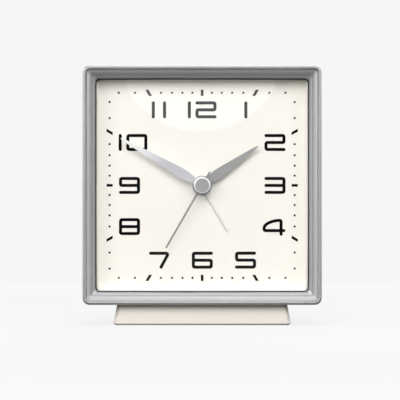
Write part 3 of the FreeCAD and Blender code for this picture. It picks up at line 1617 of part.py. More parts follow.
def make_battery_bay():
    middle_depth = bay_front + s.bay_depth / 2
    cell_z = bay_z - s.bay_half_height + s.cell_radius + s.running_gap
    middle_y = y_of(middle_depth).value

    def along(radius, start, length, height):
        base = FreeCAD.Vector(start.value, middle_y, height.value)
        return Part.makeCylinder(radius.value, length.value, base, FreeCAD.Vector(1, 0, 0))

    nub_end = s.bay_half_length - s.contact_plate
    body_start = nub_end - s.nub_length - s.cell_length
    solid_piece("battery_cell", joined(
        along(s.cell_radius, body_start, s.cell_length, cell_z),
        along(s.nub_radius, body_start + s.cell_length, s.nub_length, cell_z),
    ))
    plate_half = s.contact_plate_half
    front, back = middle_depth - plate_half, middle_depth + plate_half
    tab_front, tab_back = control_board_middle - s.tab_half, control_board_middle + s.tab_half

    def contact(left, right):
        """A contact plate with a solder tab that stands out of the bay's top wall."""
        return joined(
            block(left, right, front, back, cell_z - plate_half, cell_z + plate_half),
            block(left, right, tab_front, tab_back, cell_z, bay_top + s.tab_rise),
        )

    solid_piece("battery_plus_contact", contact(nub_end, s.bay_half_length))
    plate_inside = -s.bay_half_length + s.contact_plate
    coil_start = plate_inside.value + s.coil_wire_radius.value * 0.6
    coil_length = body_start.value - s.coil_wire_radius.value - coil_start
    taper = math.degrees(math.atan(
        (s.coil_end_radius.value - s.coil_radius.value) / coil_length
    ))
    helix = Part.makeHelix(coil_length / COIL_TURN_COUNT, coil_length, s.coil_radius.value, taper)
    start = helix.Edges[0].valueAt(helix.Edges[0].FirstParameter)
    heading = helix.Edges[0].tangentAt(helix.Edges[0].FirstParameter)
    section = Part.Wire(Part.makeCircle(s.coil_wire_radius.value, start, heading))
    coil = helix.makePipeShell([section], True, True)
    coil.Placement = FreeCAD.Placement(
        FreeCAD.Vector(coil_start, middle_y, cell_z.value),
        FreeCAD.Rotation(FreeCAD.Vector(0, 1, 0), 90),
    )
    solid_piece("battery_spring", joined(contact(-s.bay_half_length, plate_inside), coil))

    door = new_body("battery_door")
    door_x = s.bay_half_length + s.door_overlap - s.door_gap
    door_z = s.bay_half_height + s.door_overlap - s.door_gap
    add_slab(door, "door_sheet", door_front, case_depth,
             lambda k: draw_rounded(k, door_x, door_z, s.door_corner, (ZERO, bay_z)))

    def ribs(sketch):
        up = s.bay_half_height - s.door_gap
        for across in (-s.door_rib_reach, s.door_rib_reach):
            draw_rounded(sketch, s.door_rib / 2, up, s.slot_round, (across, bay_z))

    add_slab(door, "door_ribs", door_front - s.door_rib_depth, door_front, ribs)
    grip_z = bay_z + s.bay_half_height - s.door_grip_height
    cut_slab(door, "door_grip", case_depth - s.door_grip_depth, case_depth,
             lambda k: draw_rounded(k, s.door_grip_half, s.door_grip_height / 2, s.slot_round,
                                    (ZERO, grip_z)))
    keep(door, "battery_door")


def lead(points):
    """A round insulated lead through the points, with its corners rounded."""
    path = stroke_wire([FreeCAD.Vector(*(size.value for size in p)) for p in points],
                       s.lead_bend.value)
    start = path.Edges[0]
    heading = start.tangentAt(start.FirstParameter)
    ring = Part.makeCircle(s.lead_radius.value, start.valueAt(start.FirstParameter), heading)
    return path.makePipeShell([Part.Wire(ring)], True, True)


def make_leads():
    y = y_of(control_board_middle)
    low = bay_top + s.lead_gap + s.lead_radius
    board_bottom = arbor_z - s.control_board_bottom
    tab_inside = s.bay_half_length - s.contact_plate
    solid_piece("battery_leads", Part.makeCompound([
        lead([(tab_inside, y, low), (-s.plus_lead_place, y, low),
              (-s.plus_lead_place, y, board_bottom)]),
        lead([(-tab_inside, y, low), (-s.minus_lead_place, y, low),
              (-s.minus_lead_place, y, board_bottom)]),
    ]))
    solid_piece("link_wires", Part.makeCompound([
        rod(s.lead_radius, circuit_board_back, board_front_depth, place) for place in link_places
    ]))
    top = arbor_z + s.control_board_top
    height = sounder_place[1] - s.sounder_radius * 0.8
    face = y_of(cover_front - s.sounder_thickness)
    solid_piece("sounder_leads", Part.makeCompound([
        lead([(across, face, height), (across, y, height), (across, y, top)])
        for across in (control_x - s.sounder_lead_place, control_x + s.sounder_lead_place)
    ]))


# plinth


plinth_middle = y_of(s.bezel_depth + s.flange_thickness + s.plinth_boss_radius + s.plinth_boss_gap)
plinth_place = (ZERO, plinth_middle)


def make_plinth():
    body = new_body("plinth")
    foot = new_sketch(body, "plinth_foot", "XY_Plane", s.pad_thickness)
    draw_rounded(foot, s.plinth_width / 2, s.plinth_depth / 2, s.plinth_corner, plinth_place)
    top = new_sketch(body, "plinth_top", "XY_Plane", s.base_height)
    draw_rounded(top, s.plinth_width / 2 - s.plinth_taper, s.plinth_depth / 2 - s.plinth_rake,
                 s.plinth_corner, plinth_place)
    loft = body.newObject("PartDesign::AdditiveLoft", "plinth_block")
    loft.Profile = foot
    loft.Sections = [top]
    loft.Ruled = True

    def holes(radius):
        def draw(sketch):
            for across in (-s.plinth_screw_place, s.plinth_screw_place):
                draw_disc(sketch, radius, (across, plinth_middle))
        return draw

    cut_layer(body, "plinth_holes", s.pad_thickness, s.base_height, holes(s.screw_radius))
    cut_layer(body, "plinth_counterbores", s.pad_thickness, s.pad_thickness + s.plinth_head_depth,
              holes(s.screw_head_radius))
    keep(body, "plinth")

    pad = new_body("base_pad")
    add_layer(pad, "pad_sheet", ZERO, s.pad_thickness,
              lambda k: draw_rounded(k, s.plinth_width / 2 - s.pad_inset,
                                     s.plinth_depth / 2 - s.pad_inset, s.plinth_corner,
                                     plinth_place))
    keep(pad, "base_pad")
    head = s.pad_thickness + s.plinth_head_depth - s.screw_head_height
    heads = [
        FreeCAD.Vector(across.value, plinth_middle.value, head.value)
        for across in (-s.plinth_screw_place, s.plinth_screw_place)
    ]
    screw_set("plinth_screws", heads, s.screw_radius, s.screw_length, s.screw_head_radius,
              s.screw_head_height, UPWARD)


def write_parts():
    doc.recompute()
    failed = [o.Label for o in doc.Objects if "Invalid" in o.State or "Error" in o.State]
    if failed:
        raise RuntimeError(f"these objects failed: {failed}")
    for part in PARTS:
        if part.Shape.isNull() or not part.Shape.isValid() or not part.Shape.Solids:
            raise RuntimeError(f"{part.Label} has no valid solid")
    os.makedirs("parts", exist_ok=True)
    for part in PARTS:
        part.Shape.exportStep(os.path.join("parts", part.Label + ".step"))


make_bezel()
make_shell()
make_window()
make_surround()
make_dial()
make_numerals()
make_ticks()
make_dots()
make_hands()
make_gears()
make_movement_case()
make_motor()
make_circuit()
make_rear_cover()
make_controls()
make_battery_bay()
make_leads()
make_plinth()
write_parts()
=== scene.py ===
import json
import math

import bmesh
import bpy
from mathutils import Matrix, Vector


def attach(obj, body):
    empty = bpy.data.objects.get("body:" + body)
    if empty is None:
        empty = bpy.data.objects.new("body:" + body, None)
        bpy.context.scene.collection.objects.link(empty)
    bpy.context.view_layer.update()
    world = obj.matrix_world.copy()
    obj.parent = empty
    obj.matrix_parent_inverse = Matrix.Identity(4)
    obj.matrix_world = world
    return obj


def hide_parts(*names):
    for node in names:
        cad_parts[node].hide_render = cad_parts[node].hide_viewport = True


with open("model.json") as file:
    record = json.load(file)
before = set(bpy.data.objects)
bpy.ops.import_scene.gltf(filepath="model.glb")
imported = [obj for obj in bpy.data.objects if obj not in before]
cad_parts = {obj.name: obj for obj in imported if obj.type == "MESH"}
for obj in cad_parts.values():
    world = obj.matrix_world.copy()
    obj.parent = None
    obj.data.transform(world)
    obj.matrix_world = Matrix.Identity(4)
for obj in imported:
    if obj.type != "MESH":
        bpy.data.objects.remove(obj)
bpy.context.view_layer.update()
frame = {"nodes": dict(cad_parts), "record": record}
nodes = frame["nodes"]
print("frame loaded:", len(nodes), "nodes")

mm = 0.001
quarterTurn = math.pi / 2
# how deep the fine grain of a finish is, and a length that is too small to see
grainDepth = 0.02 * mm
hair = 0.01 * mm
# the dial's middle, and the plane of the bezel's front, which depths are counted from
middle = Vector((0.0, -22.5 * mm, 64.5 * mm))


# camera, lamps and room
camera = {"distance": 1.1, "x": -0.99 * mm, "z": 57.7 * mm, "lens": 215.6, "sensor": 36.0, "nearest": 0.05}

# a lamp that isn't mirrored lights the dial without showing in the window
lamps = {
    "keyLamp": {"azimuth": 0, "elevation": 35, "distance": 1.6, "size": 0.9, "watts": 9.0,
                "mirrored": False},
    "leftFrontLamp": {"azimuth": -40, "elevation": 20, "distance": 1.6, "size": 1.1, "watts": 12.3},
    "rightFrontLamp": {"azimuth": 38, "elevation": 20, "distance": 1.6, "size": 1.1, "watts": 9.0},
    "highLamp": {"azimuth": 0, "elevation": 50, "distance": 1.4, "size": 0.6, "watts": 3.2},
    "topLamp": {"azimuth": 0, "elevation": 80, "distance": 1.2, "size": 0.6, "watts": 1.2},
    "roundLamp": {"azimuth": -0.2, "elevation": 17.9, "distance": 1.6, "size": 0.6, "watts": 1.05},
    "leftSideLamp": {"azimuth": -104, "elevation": 28, "distance": 1.2, "size": 1.3, "watts": 6.0},
    "rightSideLamp": {"azimuth": 104, "elevation": 28, "distance": 1.2, "size": 1.3, "watts": 6.0},
    "backLamp": {"azimuth": 172, "elevation": 36, "distance": 1.2, "size": 1.0, "watts": 8.0},
}

room = {
    "air": (0.035, 0.0355, 0.037),
    "paleColour": (0.92, 0.925, 0.925),
    "floorColour": (0.12, 0.12, 0.12),
    "nearGlow": 0.862,
    "shadeReach": (0.12, 0.6),
    "mirrorFade": (0.06, 0.4),
    "halfWidth": 3.0,
    "front": -3.0,
    "back": 1.6,
    "height": 2.4,
    "sweepRadius": 0.3,
    "sweepSegments": 12,
}


def clearSelection():
    bpy.ops.object.select_all(action="DESELECT")


def makeActive(piece):
    clearSelection()
    piece.select_set(True)
    bpy.context.view_layer.objects.active = piece


def onSphere(azimuth, elevation, distance):
    across, up = math.radians(azimuth), math.radians(elevation)
    return middle + distance * Vector((
        math.sin(across) * math.cos(up), -math.cos(across) * math.cos(up), math.sin(up)))


def placeCamera(settings):
    place = (settings["x"], middle.y - settings["distance"], settings["z"])
    bpy.ops.object.camera_add(location=place, rotation=(quarterTurn, 0, 0))
    shot = bpy.context.object
    shot.name = "camera"
    shot.data.lens = settings["lens"]
    shot.data.sensor_width = settings["sensor"]
    shot.data.clip_start = settings["nearest"]
    bpy.context.scene.camera = shot


def placeLamp(name, settings):
    place = onSphere(settings["azimuth"], settings["elevation"], settings["distance"])
    turn = (middle - place).to_track_quat("-Z", "Y").to_euler()
    bpy.ops.object.light_add(type="AREA", location=place, rotation=turn)
    lamp = bpy.context.object
    lamp.name = name
    lamp.data.shape = "DISK"
    lamp.data.size = settings["size"]
    lamp.data.energy = settings["watts"]
    lamp.visible_camera = False
    mirrored = settings.get("mirrored", True)
    lamp.visible_glossy = mirrored
    lamp.visible_transmission = mirrored


def linkMath(tree, operation, one, two=0.0):
    step = tree.nodes.new("ShaderNodeMath")
    step.operation = operation
    for number, value in enumerate((one, two)):
        if isinstance(value, (int, float)):
            step.inputs[number].default_value = value
        else:
            tree.links.new(value, step.inputs[number])
    return step.outputs[0]


def linkVector(tree, operation, one, two=None):
    step = tree.nodes.new("ShaderNodeVectorMath")
    step.operation = operation
    tree.links.new(one, step.inputs[0])
    if isinstance(two, tuple):
        step.inputs[1].default_value = two
    elif two is not None:
        tree.links.new(two, step.inputs["Scale" if operation == "SCALE" else 1])
    return step.outputs["Value" if operation in ("LENGTH", "DOT_PRODUCT") else "Vector"]


def linkBlend(tree, share, near, far):
    # one colour turning into another; far is a socket, or a colour that stays the same
    either = tree.nodes.new("ShaderNodeMix")
    either.data_type = "RGBA"
    nearColour, farColour = 6, 7
    tree.links.new(share, either.inputs["Factor"])
    tree.links.new(near, either.inputs[nearColour])
    if isinstance(far, tuple):
        either.inputs[farColour].default_value = far
    else:
        tree.links.new(far, either.inputs[farColour])
    mixedColour = 2
    return either.outputs[mixedColour]


def linkShaders(tree, share, first, second):
    either = tree.nodes.new("ShaderNodeMixShader")
    tree.links.new(share, either.inputs["Fac"])
    tree.links.new(first.outputs[0], either.inputs[1])
    tree.links.new(second.outputs[0], either.inputs[2])
    return either


def linkRange(tree, value, start, end, low=0.0, high=1.0):
    step = tree.nodes.new("ShaderNodeMapRange")
    step.interpolation_type = "SMOOTHSTEP"
    tree.links.new(value, step.inputs["Value"])
    for label, number in (("From Min", start), ("From Max", end), ("To Min", low), ("To Max", high)):
        step.inputs[label].default_value = number
    return step.outputs["Result"]


def paintAir(settings):
    world = bpy.data.worlds.new("air")
    world.use_nodes = True
    tree = world.node_tree
    air = tree.nodes["Background"]
    air.inputs["Color"].default_value = (*settings["air"], 1)
    pale = tree.nodes.new("ShaderNodeBackground")
    pale.inputs["Color"].default_value = (*settings["paleColour"], 1)
    rays = tree.nodes.new("ShaderNodeLightPath")
    either = linkShaders(tree, rays.outputs["Is Camera Ray"], air, pale)
    tree.links.new(either.outputs[0], tree.nodes["World Output"].inputs["Surface"])
    bpy.context.scene.world = world


def paintFloor(settings):
    # near the clock the floor takes its shadow; farther off it is the plain pale of the backdrop
    paint = bpy.data.materials.new("paleSweep")
    paint.use_nodes = True
    tree = paint.node_tree
    tree.nodes.clear()
    out = tree.nodes.new("ShaderNodeOutputMaterial")
    place = tree.nodes.new("ShaderNodeTexCoord")
    far = linkRange(tree, linkVector(tree, "LENGTH", place.outputs["Object"]), *settings["shadeReach"])
    diffuse = tree.nodes.new("ShaderNodeBsdfDiffuse")
    diffuse.inputs["Color"].default_value = (*settings["floorColour"], 1)
    black = tree.nodes.new("ShaderNodeBsdfDiffuse")
    black.inputs["Color"].default_value = (0, 0, 0, 1)
    ground = linkShaders(tree, far, diffuse, black)
    # the clock's metal and window mirror the pale behind it, and a dark card lies in front of it
    rays = tree.nodes.new("ShaderNodeLightPath")
    parts = tree.nodes.new("ShaderNodeSeparateXYZ")
    tree.links.new(place.outputs["Object"], parts.inputs[0])
    behind = linkRange(tree, parts.outputs["Y"], *settings["mirrorFade"])
    mirrored = linkMath(tree, "MAXIMUM", rays.outputs["Is Glossy Ray"], rays.outputs["Is Transmission Ray"])
    mirrored = linkMath(tree, "MULTIPLY", mirrored, behind)
    seen = linkMath(tree, "MAXIMUM", rays.outputs["Is Camera Ray"], mirrored)
    level = linkMath(tree, "MULTIPLY", seen, linkRange(tree, far, 0.0, 1.0, settings["nearGlow"], 1.0))
    glow = tree.nodes.new("ShaderNodeEmission")
    glow.inputs["Color"].default_value = (*settings["paleColour"], 1)
    tree.links.new(level, glow.inputs["Strength"])
    both = tree.nodes.new("ShaderNodeAddShader")
    tree.links.new(ground.outputs[0], both.inputs[0])
    tree.links.new(glow.outputs[0], both.inputs[1])
    tree.links.new(both.outputs[0], out.inputs["Surface"])
    return paint


def buildRoom(settings):
    paintAir(settings)
    # a floor that sweeps up behind the clock
    clearSelection()
    depth = settings["back"] - settings["front"]
    bpy.ops.mesh.primitive_plane_add(size=2, location=(0, (settings["back"] + settings["front"]) / 2, 0))
    sweep = bpy.context.object
    sweep.name = "floorSweep"
    sweep.scale = (settings["halfWidth"], depth / 2, 1)
    bpy.ops.object.transform_apply(location=True, rotation=True, scale=True)
    bpy.ops.object.mode_set(mode="EDIT")
    pickEdges(sweep, lambda low, high: low.y > settings["back"] - mm)
    bpy.ops.mesh.extrude_region_move(TRANSFORM_OT_translate={"value": (0, 0, settings["height"])})
    pickEdges(sweep, lambda low, high: low.y > settings["back"] - mm and high.z < mm)
    bpy.ops.mesh.bevel(offset=settings["sweepRadius"], segments=settings["sweepSegments"])
    bpy.ops.object.mode_set(mode="OBJECT")
    bpy.ops.object.shade_smooth()
    sweep.data.materials.append(paintFloor(settings))


# picking parts of the mesh that is open in edit mode, by place
def bareMesh(piece):
    work = bmesh.from_edit_mesh(piece.data)
    work.verts.ensure_lookup_table()
    for part in (work.faces, work.edges, work.verts):
        for item in part:
            item.select = False
    return work


def pickEdges(piece, wanted, borderOnly=False):
    # wanted gets the low and the high corner of the edge's box
    work = bareMesh(piece)
    for edge in work.edges:
        one, two = edge.verts[0].co, edge.verts[1].co
        if borderOnly and not edge.is_boundary:
            continue
        if wanted(Vector(map(min, one, two)), Vector(map(max, one, two))):
            edge.select_set(True)
    bmesh.update_edit_mesh(piece.data)


def pickFaces(piece, wanted):
    work = bareMesh(piece)
    for face in work.faces:
        if wanted(face.calc_center_median(), face.normal):
            face.select_set(True)
    bmesh.update_edit_mesh(piece.data)


def pickPoints(piece, wanted):
    work = bareMesh(piece)
    for point in work.verts:
        if wanted(point.co):
            point.select = True
    work.select_flush(True)
    bmesh.update_edit_mesh(piece.data)


def pickNumbers(piece, first, last):
    work = bareMesh(piece)
    for number in range(first, last):
        work.verts[number].select = True
    work.select_flush(True)
    bmesh.update_edit_mesh(piece.data)


def useModifier(piece, kind, **values):
    makeActive(piece)
    step = piece.modifiers.new(kind.lower(), kind)
    for name, value in values.items():
        setattr(step, name, value)
    bpy.ops.object.modifier_apply(modifier=step.name)


def softenEdges(piece, width, angle=25):
    useModifier(piece, "BEVEL", width=width, segments=2, limit_method="ANGLE",
                angle_limit=math.radians(angle), harden_normals=False)


def finishPiece(piece, name, body, finish, replaced=(), angle=30, evened=False):
    makeActive(piece)
    piece.name = name
    piece.data.name = name
    bpy.ops.object.transform_apply(location=True, rotation=True, scale=True)
    bpy.ops.object.mode_set(mode="EDIT")
    bpy.ops.mesh.select_all(action="SELECT")
    bpy.ops.mesh.normals_make_consistent(inside=False)
    bpy.ops.object.mode_set(mode="OBJECT")
    bpy.ops.object.shade_smooth_by_angle(angle=math.radians(angle))
    if evened:
        useModifier(piece, "WEIGHTED_NORMAL", keep_sharp=True, weight=100)
    piece.data.materials.clear()
    piece.data.materials.append(finish)
    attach(piece, body)
    if replaced:
        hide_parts(*replaced)


# rounded outlines, joined one after another into a ring or a block
def addOutline(half, deep, place, corner, segments, flat):
    clearSelection()
    turn = (0, 0, 0) if flat else (quarterTurn, 0, 0)
    bpy.ops.mesh.primitive_plane_add(size=2, location=place, rotation=turn)
    outline = bpy.context.object
    outline.scale = (half, deep, 1)
    bpy.ops.object.transform_apply(location=True, rotation=True, scale=True)
    bpy.ops.object.mode_set(mode="EDIT")
    bpy.ops.mesh.select_all(action="SELECT")
    bpy.ops.mesh.bevel(offset=corner, segments=segments, affect="VERTICES")
    bpy.ops.mesh.delete(type="ONLY_FACE")
    bpy.ops.object.mode_set(mode="OBJECT")
    return outline


def joinOutlines(outlines, closed):
    clearSelection()
    counts = [len(outline.data.vertices) for outline in outlines]
    for outline in outlines:
        outline.select_set(True)
    piece = outlines[0]
    bpy.context.view_layer.objects.active = piece
    bpy.ops.object.join()
    starts = [sum(counts[:n]) for n in range(len(counts) + 1)]
    bpy.ops.object.mode_set(mode="EDIT")
    bpy.ops.mesh.select_mode(type="VERT")
    pairs = [(n, n + 1) for n in range(len(counts) - 1)]
    if closed:
        pairs.append((len(counts) - 1, 0))
    for one, two in pairs:
        work = bareMesh(piece)
        for number in (one, two):
            for vertex in range(starts[number], starts[number + 1]):
                work.verts[vertex].select = True
        for edge in work.edges:
            ends = [v.index for v in edge.verts]
            same = any(all(starts[n] <= e < starts[n + 1] for e in ends) for n in (one, two))
            edge.select = same
        bmesh.update_edit_mesh(piece.data)
        bpy.ops.mesh.bridge_edge_loops()
    if not closed:
        for number in (0, len(counts) - 1):
            pickNumbers(piece, starts[number], starts[number + 1])
            bpy.ops.mesh.edge_face_add()
    bpy.ops.object.mode_set(mode="OBJECT")
    return piece


# shader groups that several finishes share
def newGroup(name, inputs, outputs):
    group = bpy.data.node_groups.new(name, "ShaderNodeTree")
    for label, kind, value in inputs:
        socket = group.interface.new_socket(label, in_out="INPUT", socket_type=kind)
        socket.default_value = value
    for label, kind in outputs:
        group.interface.new_socket(label, in_out="OUTPUT", socket_type=kind)
    start = group.nodes.new("NodeGroupInput")
    end = group.nodes.new("NodeGroupOutput")
    return group, start, end


def objectPlace(tree):
    return tree.nodes.new("ShaderNodeTexCoord").outputs["Object"]


def linkNoise(tree, place, scale, detail):
    cloud = tree.nodes.new("ShaderNodeTexNoise")
    cloud.inputs["Detail"].default_value = detail
    tree.links.new(place, cloud.inputs["Vector"])
    tree.links.new(scale, cloud.inputs["Scale"])
    return cloud.outputs["Fac"]


def linkLines(tree, along, detail):
    # uneven lines, across the one direction that is measured along
    lines = tree.nodes.new("ShaderNodeTexNoise")
    lines.noise_dimensions = "1D"
    lines.inputs["Scale"].default_value = 1.0
    lines.inputs["Detail"].default_value = detail
    tree.links.new(along, lines.inputs["W"])
    return lines.outputs["Fac"]


def makeGrainGroup():
    # fine moulding or paint texture: a height for a bump, and a mask for the gloss
    group, start, end = newGroup(
        "fineGrain",
        [("Scale", "NodeSocketFloat", 3000.0), ("Stretch", "NodeSocketVector", (1, 1, 1))],
        [("Height", "NodeSocketFloat"), ("Mask", "NodeSocketFloat")])
    broadShare = 0.04
    fine = start.outputs["Scale"]
    broad = linkMath(group, "MULTIPLY", fine, broadShare)
    place = linkVector(group, "MULTIPLY", objectPlace(group), start.outputs["Stretch"])
    group.links.new(linkNoise(group, place, fine, 3.0), end.inputs["Height"])
    group.links.new(linkNoise(group, place, broad, 2.0), end.inputs["Mask"])
    return group


def makeDriftGroup():
    # a slow drift of tone over a surface that isn't perfectly even
    group, start, end = newGroup(
        "toneDrift",
        [("Colour", "NodeSocketColor", (0.5, 0.5, 0.5, 1)), ("Scale", "NodeSocketFloat", 30.0),
         ("Amount", "NodeSocketFloat", 0.05)],
        [("Colour", "NodeSocketColor")])
    cloud = linkNoise(group, objectPlace(group), start.outputs["Scale"], 4.0)
    swing = linkMath(group, "MULTIPLY", linkMath(group, "SUBTRACT", cloud, 0.5), start.outputs["Amount"])
    level = linkMath(group, "ADD", swing, 1.0)
    group.links.new(linkVector(group, "SCALE", start.outputs["Colour"], level), end.inputs["Colour"])
    return group


def makeFlakeGroup():
    # the small bright flakes in a silver paint
    group, start, end = newGroup(
        "metalFlake",
        [("Colour", "NodeSocketColor", (0.5, 0.5, 0.5, 1)), ("Scale", "NodeSocketFloat", 9000.0),
         ("Amount", "NodeSocketFloat", 0.1)],
        [("Colour", "NodeSocketColor")])
    amount = start.outputs["Amount"]
    cells = group.nodes.new("ShaderNodeTexVoronoi")
    group.links.new(objectPlace(group), cells.inputs["Vector"])
    group.links.new(start.outputs["Scale"], cells.inputs["Scale"])
    parts = group.nodes.new("ShaderNodeSeparateColor")
    group.links.new(cells.outputs["Color"], parts.inputs["Color"])
    spread = group.nodes.new("ShaderNodeMapRange")
    group.links.new(parts.outputs["Red"], spread.inputs["Value"])
    group.links.new(linkMath(group, "SUBTRACT", 1.0, amount), spread.inputs["To Min"])
    group.links.new(linkMath(group, "ADD", 1.0, amount), spread.inputs["To Max"])
    tint = linkVector(group, "SCALE", start.outputs["Colour"], spread.outputs["Result"])
    group.links.new(tint, end.inputs["Colour"])
    return group


def makeRingsGroup():
    # fine rings left by turning, about an axis that runs from front to back
    group, start, end = newGroup(
        "turnedRings",
        [("Centre", "NodeSocketVector", (0, 0, 0)), ("Pitch", "NodeSocketFloat", 0.0002)],
        [("Height", "NodeSocketFloat"), ("Mask", "NodeSocketFloat")])
    away = linkVector(group, "SUBTRACT", objectPlace(group), start.outputs["Centre"])
    reach = linkVector(group, "LENGTH", linkVector(group, "MULTIPLY", away, (1, 0, 1)))
    lines = linkLines(group, linkMath(group, "DIVIDE", reach, start.outputs["Pitch"]), 2.0)
    group.links.new(lines, end.inputs["Height"])
    group.links.new(lines, end.inputs["Mask"])
    return group


def makeSideLinesGroup():
    # fine lines that follow the four sides of a square frame
    group, start, end = newGroup(
        "sideLines",
        [("Colour", "NodeSocketColor", (0.5, 0.5, 0.5, 1)), ("Centre", "NodeSocketVector", (0, 0, 0)),
         ("Pitch", "NodeSocketFloat", 0.001), ("Amount", "NodeSocketFloat", 0.5)],
        [("Colour", "NodeSocketColor")])
    away = linkVector(group, "SUBTRACT", objectPlace(group), start.outputs["Centre"])
    parts = group.nodes.new("ShaderNodeSeparateXYZ")
    group.links.new(linkVector(group, "ABSOLUTE", away), parts.inputs[0])
    reach = linkMath(group, "MAXIMUM", parts.outputs["X"], parts.outputs["Z"])
    lines = linkLines(group, linkMath(group, "DIVIDE", reach, start.outputs["Pitch"]), 1.0)
    swing = linkMath(group, "MULTIPLY", linkMath(group, "SUBTRACT", lines, 0.5), start.outputs["Amount"])
    level = linkMath(group, "ADD", swing, 1.0)
    group.links.new(linkVector(group, "SCALE", start.outputs["Colour"], level), end.inputs["Colour"])
    return group


def makeWireGroup():
    # wire wound side by side round an axis that runs from left to right
    group, start, end = newGroup(
        "woundWire", [("Pitch", "NodeSocketFloat", 0.0003)],
        [("Height", "NodeSocketFloat"), ("Mask", "NodeSocketFloat")])
    parts = group.nodes.new("ShaderNodeSeparateXYZ")
    group.links.new(objectPlace(group), parts.inputs[0])
    turns = linkMath(group, "DIVIDE", parts.outputs["X"], start.outputs["Pitch"])
    wave = linkMath(group, "SINE", linkMath(group, "MULTIPLY", turns, math.pi))
    crown = linkMath(group, "ABSOLUTE", wave)
    group.links.new(crown, end.inputs["Height"])
    group.links.new(crown, end.inputs["Mask"])
    return group


def makeTracesGroup():
    # copper traces under the lacquer of a circuit board
    group, start, end = newGroup(
        "boardTraces", [("Pitch", "NodeSocketFloat", 0.0016)], [("Mask", "NodeSocketFloat")])
    traceShare, traceSoftness = 0.09, 0.2
    pitch = group.nodes.new("ShaderNodeCombineXYZ")
    for label in ("X", "Y", "Z"):
        group.links.new(start.outputs["Pitch"], pitch.inputs[label])
    parts = group.nodes.new("ShaderNodeSeparateXYZ")
    group.links.new(linkVector(group, "DIVIDE", objectPlace(group), pitch.outputs[0]), parts.inputs[0])
    flat = group.nodes.new("ShaderNodeCombineXYZ")
    group.links.new(parts.outputs["X"], flat.inputs["X"])
    group.links.new(parts.outputs["Z"], flat.inputs["Y"])
    bricks = group.nodes.new("ShaderNodeTexBrick")
    bricks.inputs["Scale"].default_value = 1.0
    bricks.inputs["Mortar Size"].default_value = traceShare
    bricks.inputs["Mortar Smooth"].default_value = traceSoftness
    group.links.new(flat.outputs[0], bricks.inputs["Vector"])
    group.links.new(bricks.outputs["Fac"], end.inputs["Mask"])
    return group


def makeAlongGroup():
    # a colour that changes slowly along a line, from one end to the other: a painted reflection on the
    # minute hand, and the two-tone wrap of the battery
    grey = (0.5, 0.5, 0.5, 1)
    group, start, end = newGroup(
        "toneAlong",
        [("Centre", "NodeSocketVector", (0, 0, 0)), ("Direction", "NodeSocketVector", (1, 0, 0)),
         ("Start", "NodeSocketFloat", 0.0), ("End", "NodeSocketFloat", 1.0),
         ("Near", "NodeSocketColor", grey), ("Far", "NodeSocketColor", grey)],
        [("Colour", "NodeSocketColor")])
    away = linkVector(group, "SUBTRACT", objectPlace(group), start.outputs["Centre"])
    share = group.nodes.new("ShaderNodeMapRange")
    share.interpolation_type = "SMOOTHSTEP"
    reach = linkVector(group, "DOT_PRODUCT", away, start.outputs["Direction"])
    group.links.new(reach, share.inputs["Value"])
    group.links.new(start.outputs["Start"], share.inputs["From Min"])
    group.links.new(start.outputs["End"], share.inputs["From Max"])
    blend = linkBlend(group, share.outputs["Result"], start.outputs["Near"], start.outputs["Far"])
    group.links.new(blend, end.inputs["Colour"])
    return group


grainGroup = makeGrainGroup()
driftGroup = makeDriftGroup()
flakeGroup = makeFlakeGroup()
ringsGroup = makeRingsGroup()
sideLinesGroup = makeSideLinesGroup()
wireGroup = makeWireGroup()
tracesGroup = makeTracesGroup()
alongGroup = makeAlongGroup()


def srgb(red, green, blue):
    # a colour as a paint chart gives it, 0 to 255, made linear
    def linear(value):
        share = value / 255
        return share / 12.92 if share <= 0.04045 else ((share + 0.055) / 1.055) ** 2.4
    return (linear(red), linear(green), linear(blue))


def addGroup(finish, group, **values):
    node = finish.node_tree.nodes.new("ShaderNodeGroup")
    node.node_tree = group
    for label, value in values.items():
        node.inputs[label].default_value = value
    return node


def makeFinish(name, colour, roughness, metallic=0.0, coat=0.0, specular=0.5, drift=0.05,
               driftScale=30.0, grain=0.1, grainScale=3000.0, stretch=(1, 1, 1)):
    glossSpread, coatRoughness = 0.06, 0.1
    finish = bpy.data.materials.new(name)
    finish.use_nodes = True
    tree = finish.node_tree
    skin = tree.nodes["Principled BSDF"]
    skin.inputs["Metallic"].default_value = metallic
    skin.inputs["Coat Weight"].default_value = coat
    skin.inputs["Coat Roughness"].default_value = coatRoughness
    skin.inputs["Specular IOR Level"].default_value = specular
    tone = addGroup(finish, driftGroup, Colour=(*srgb(*colour), 1), Scale=driftScale, Amount=drift)
    tone.name = "tone"
    tree.links.new(tone.outputs["Colour"], skin.inputs["Base Color"])
    texture = addGroup(finish, grainGroup, Scale=grainScale, Stretch=stretch)
    texture.name = "texture"
    gloss = tree.nodes.new("ShaderNodeMapRange")
    gloss.name = "gloss"
    gloss.inputs["To Min"].default_value = roughness - glossSpread
    gloss.inputs["To Max"].default_value = roughness + glossSpread
    tree.links.new(texture.outputs["Mask"], gloss.inputs["Value"])
    tree.links.new(gloss.outputs["Result"], skin.inputs["Roughness"])
    bump = tree.nodes.new("ShaderNodeBump")
    bump.name = "bump"
    bump.inputs["Strength"].default_value = grain
    bump.inputs["Distance"].default_value = grainDepth
    tree.links.new(texture.outputs["Height"], bump.inputs["Height"])
    tree.links.new(bump.outputs["Normal"], skin.inputs["Normal"])
    return finish


def addFlake(finish, amount):
    tree = finish.node_tree
    flake = addGroup(finish, flakeGroup, Amount=amount)
    tree.links.new(tree.nodes["tone"].outputs["Colour"], flake.inputs["Colour"])
    tree.links.new(flake.outputs["Colour"], tree.nodes["Principled BSDF"].inputs["Base Color"])
    return finish


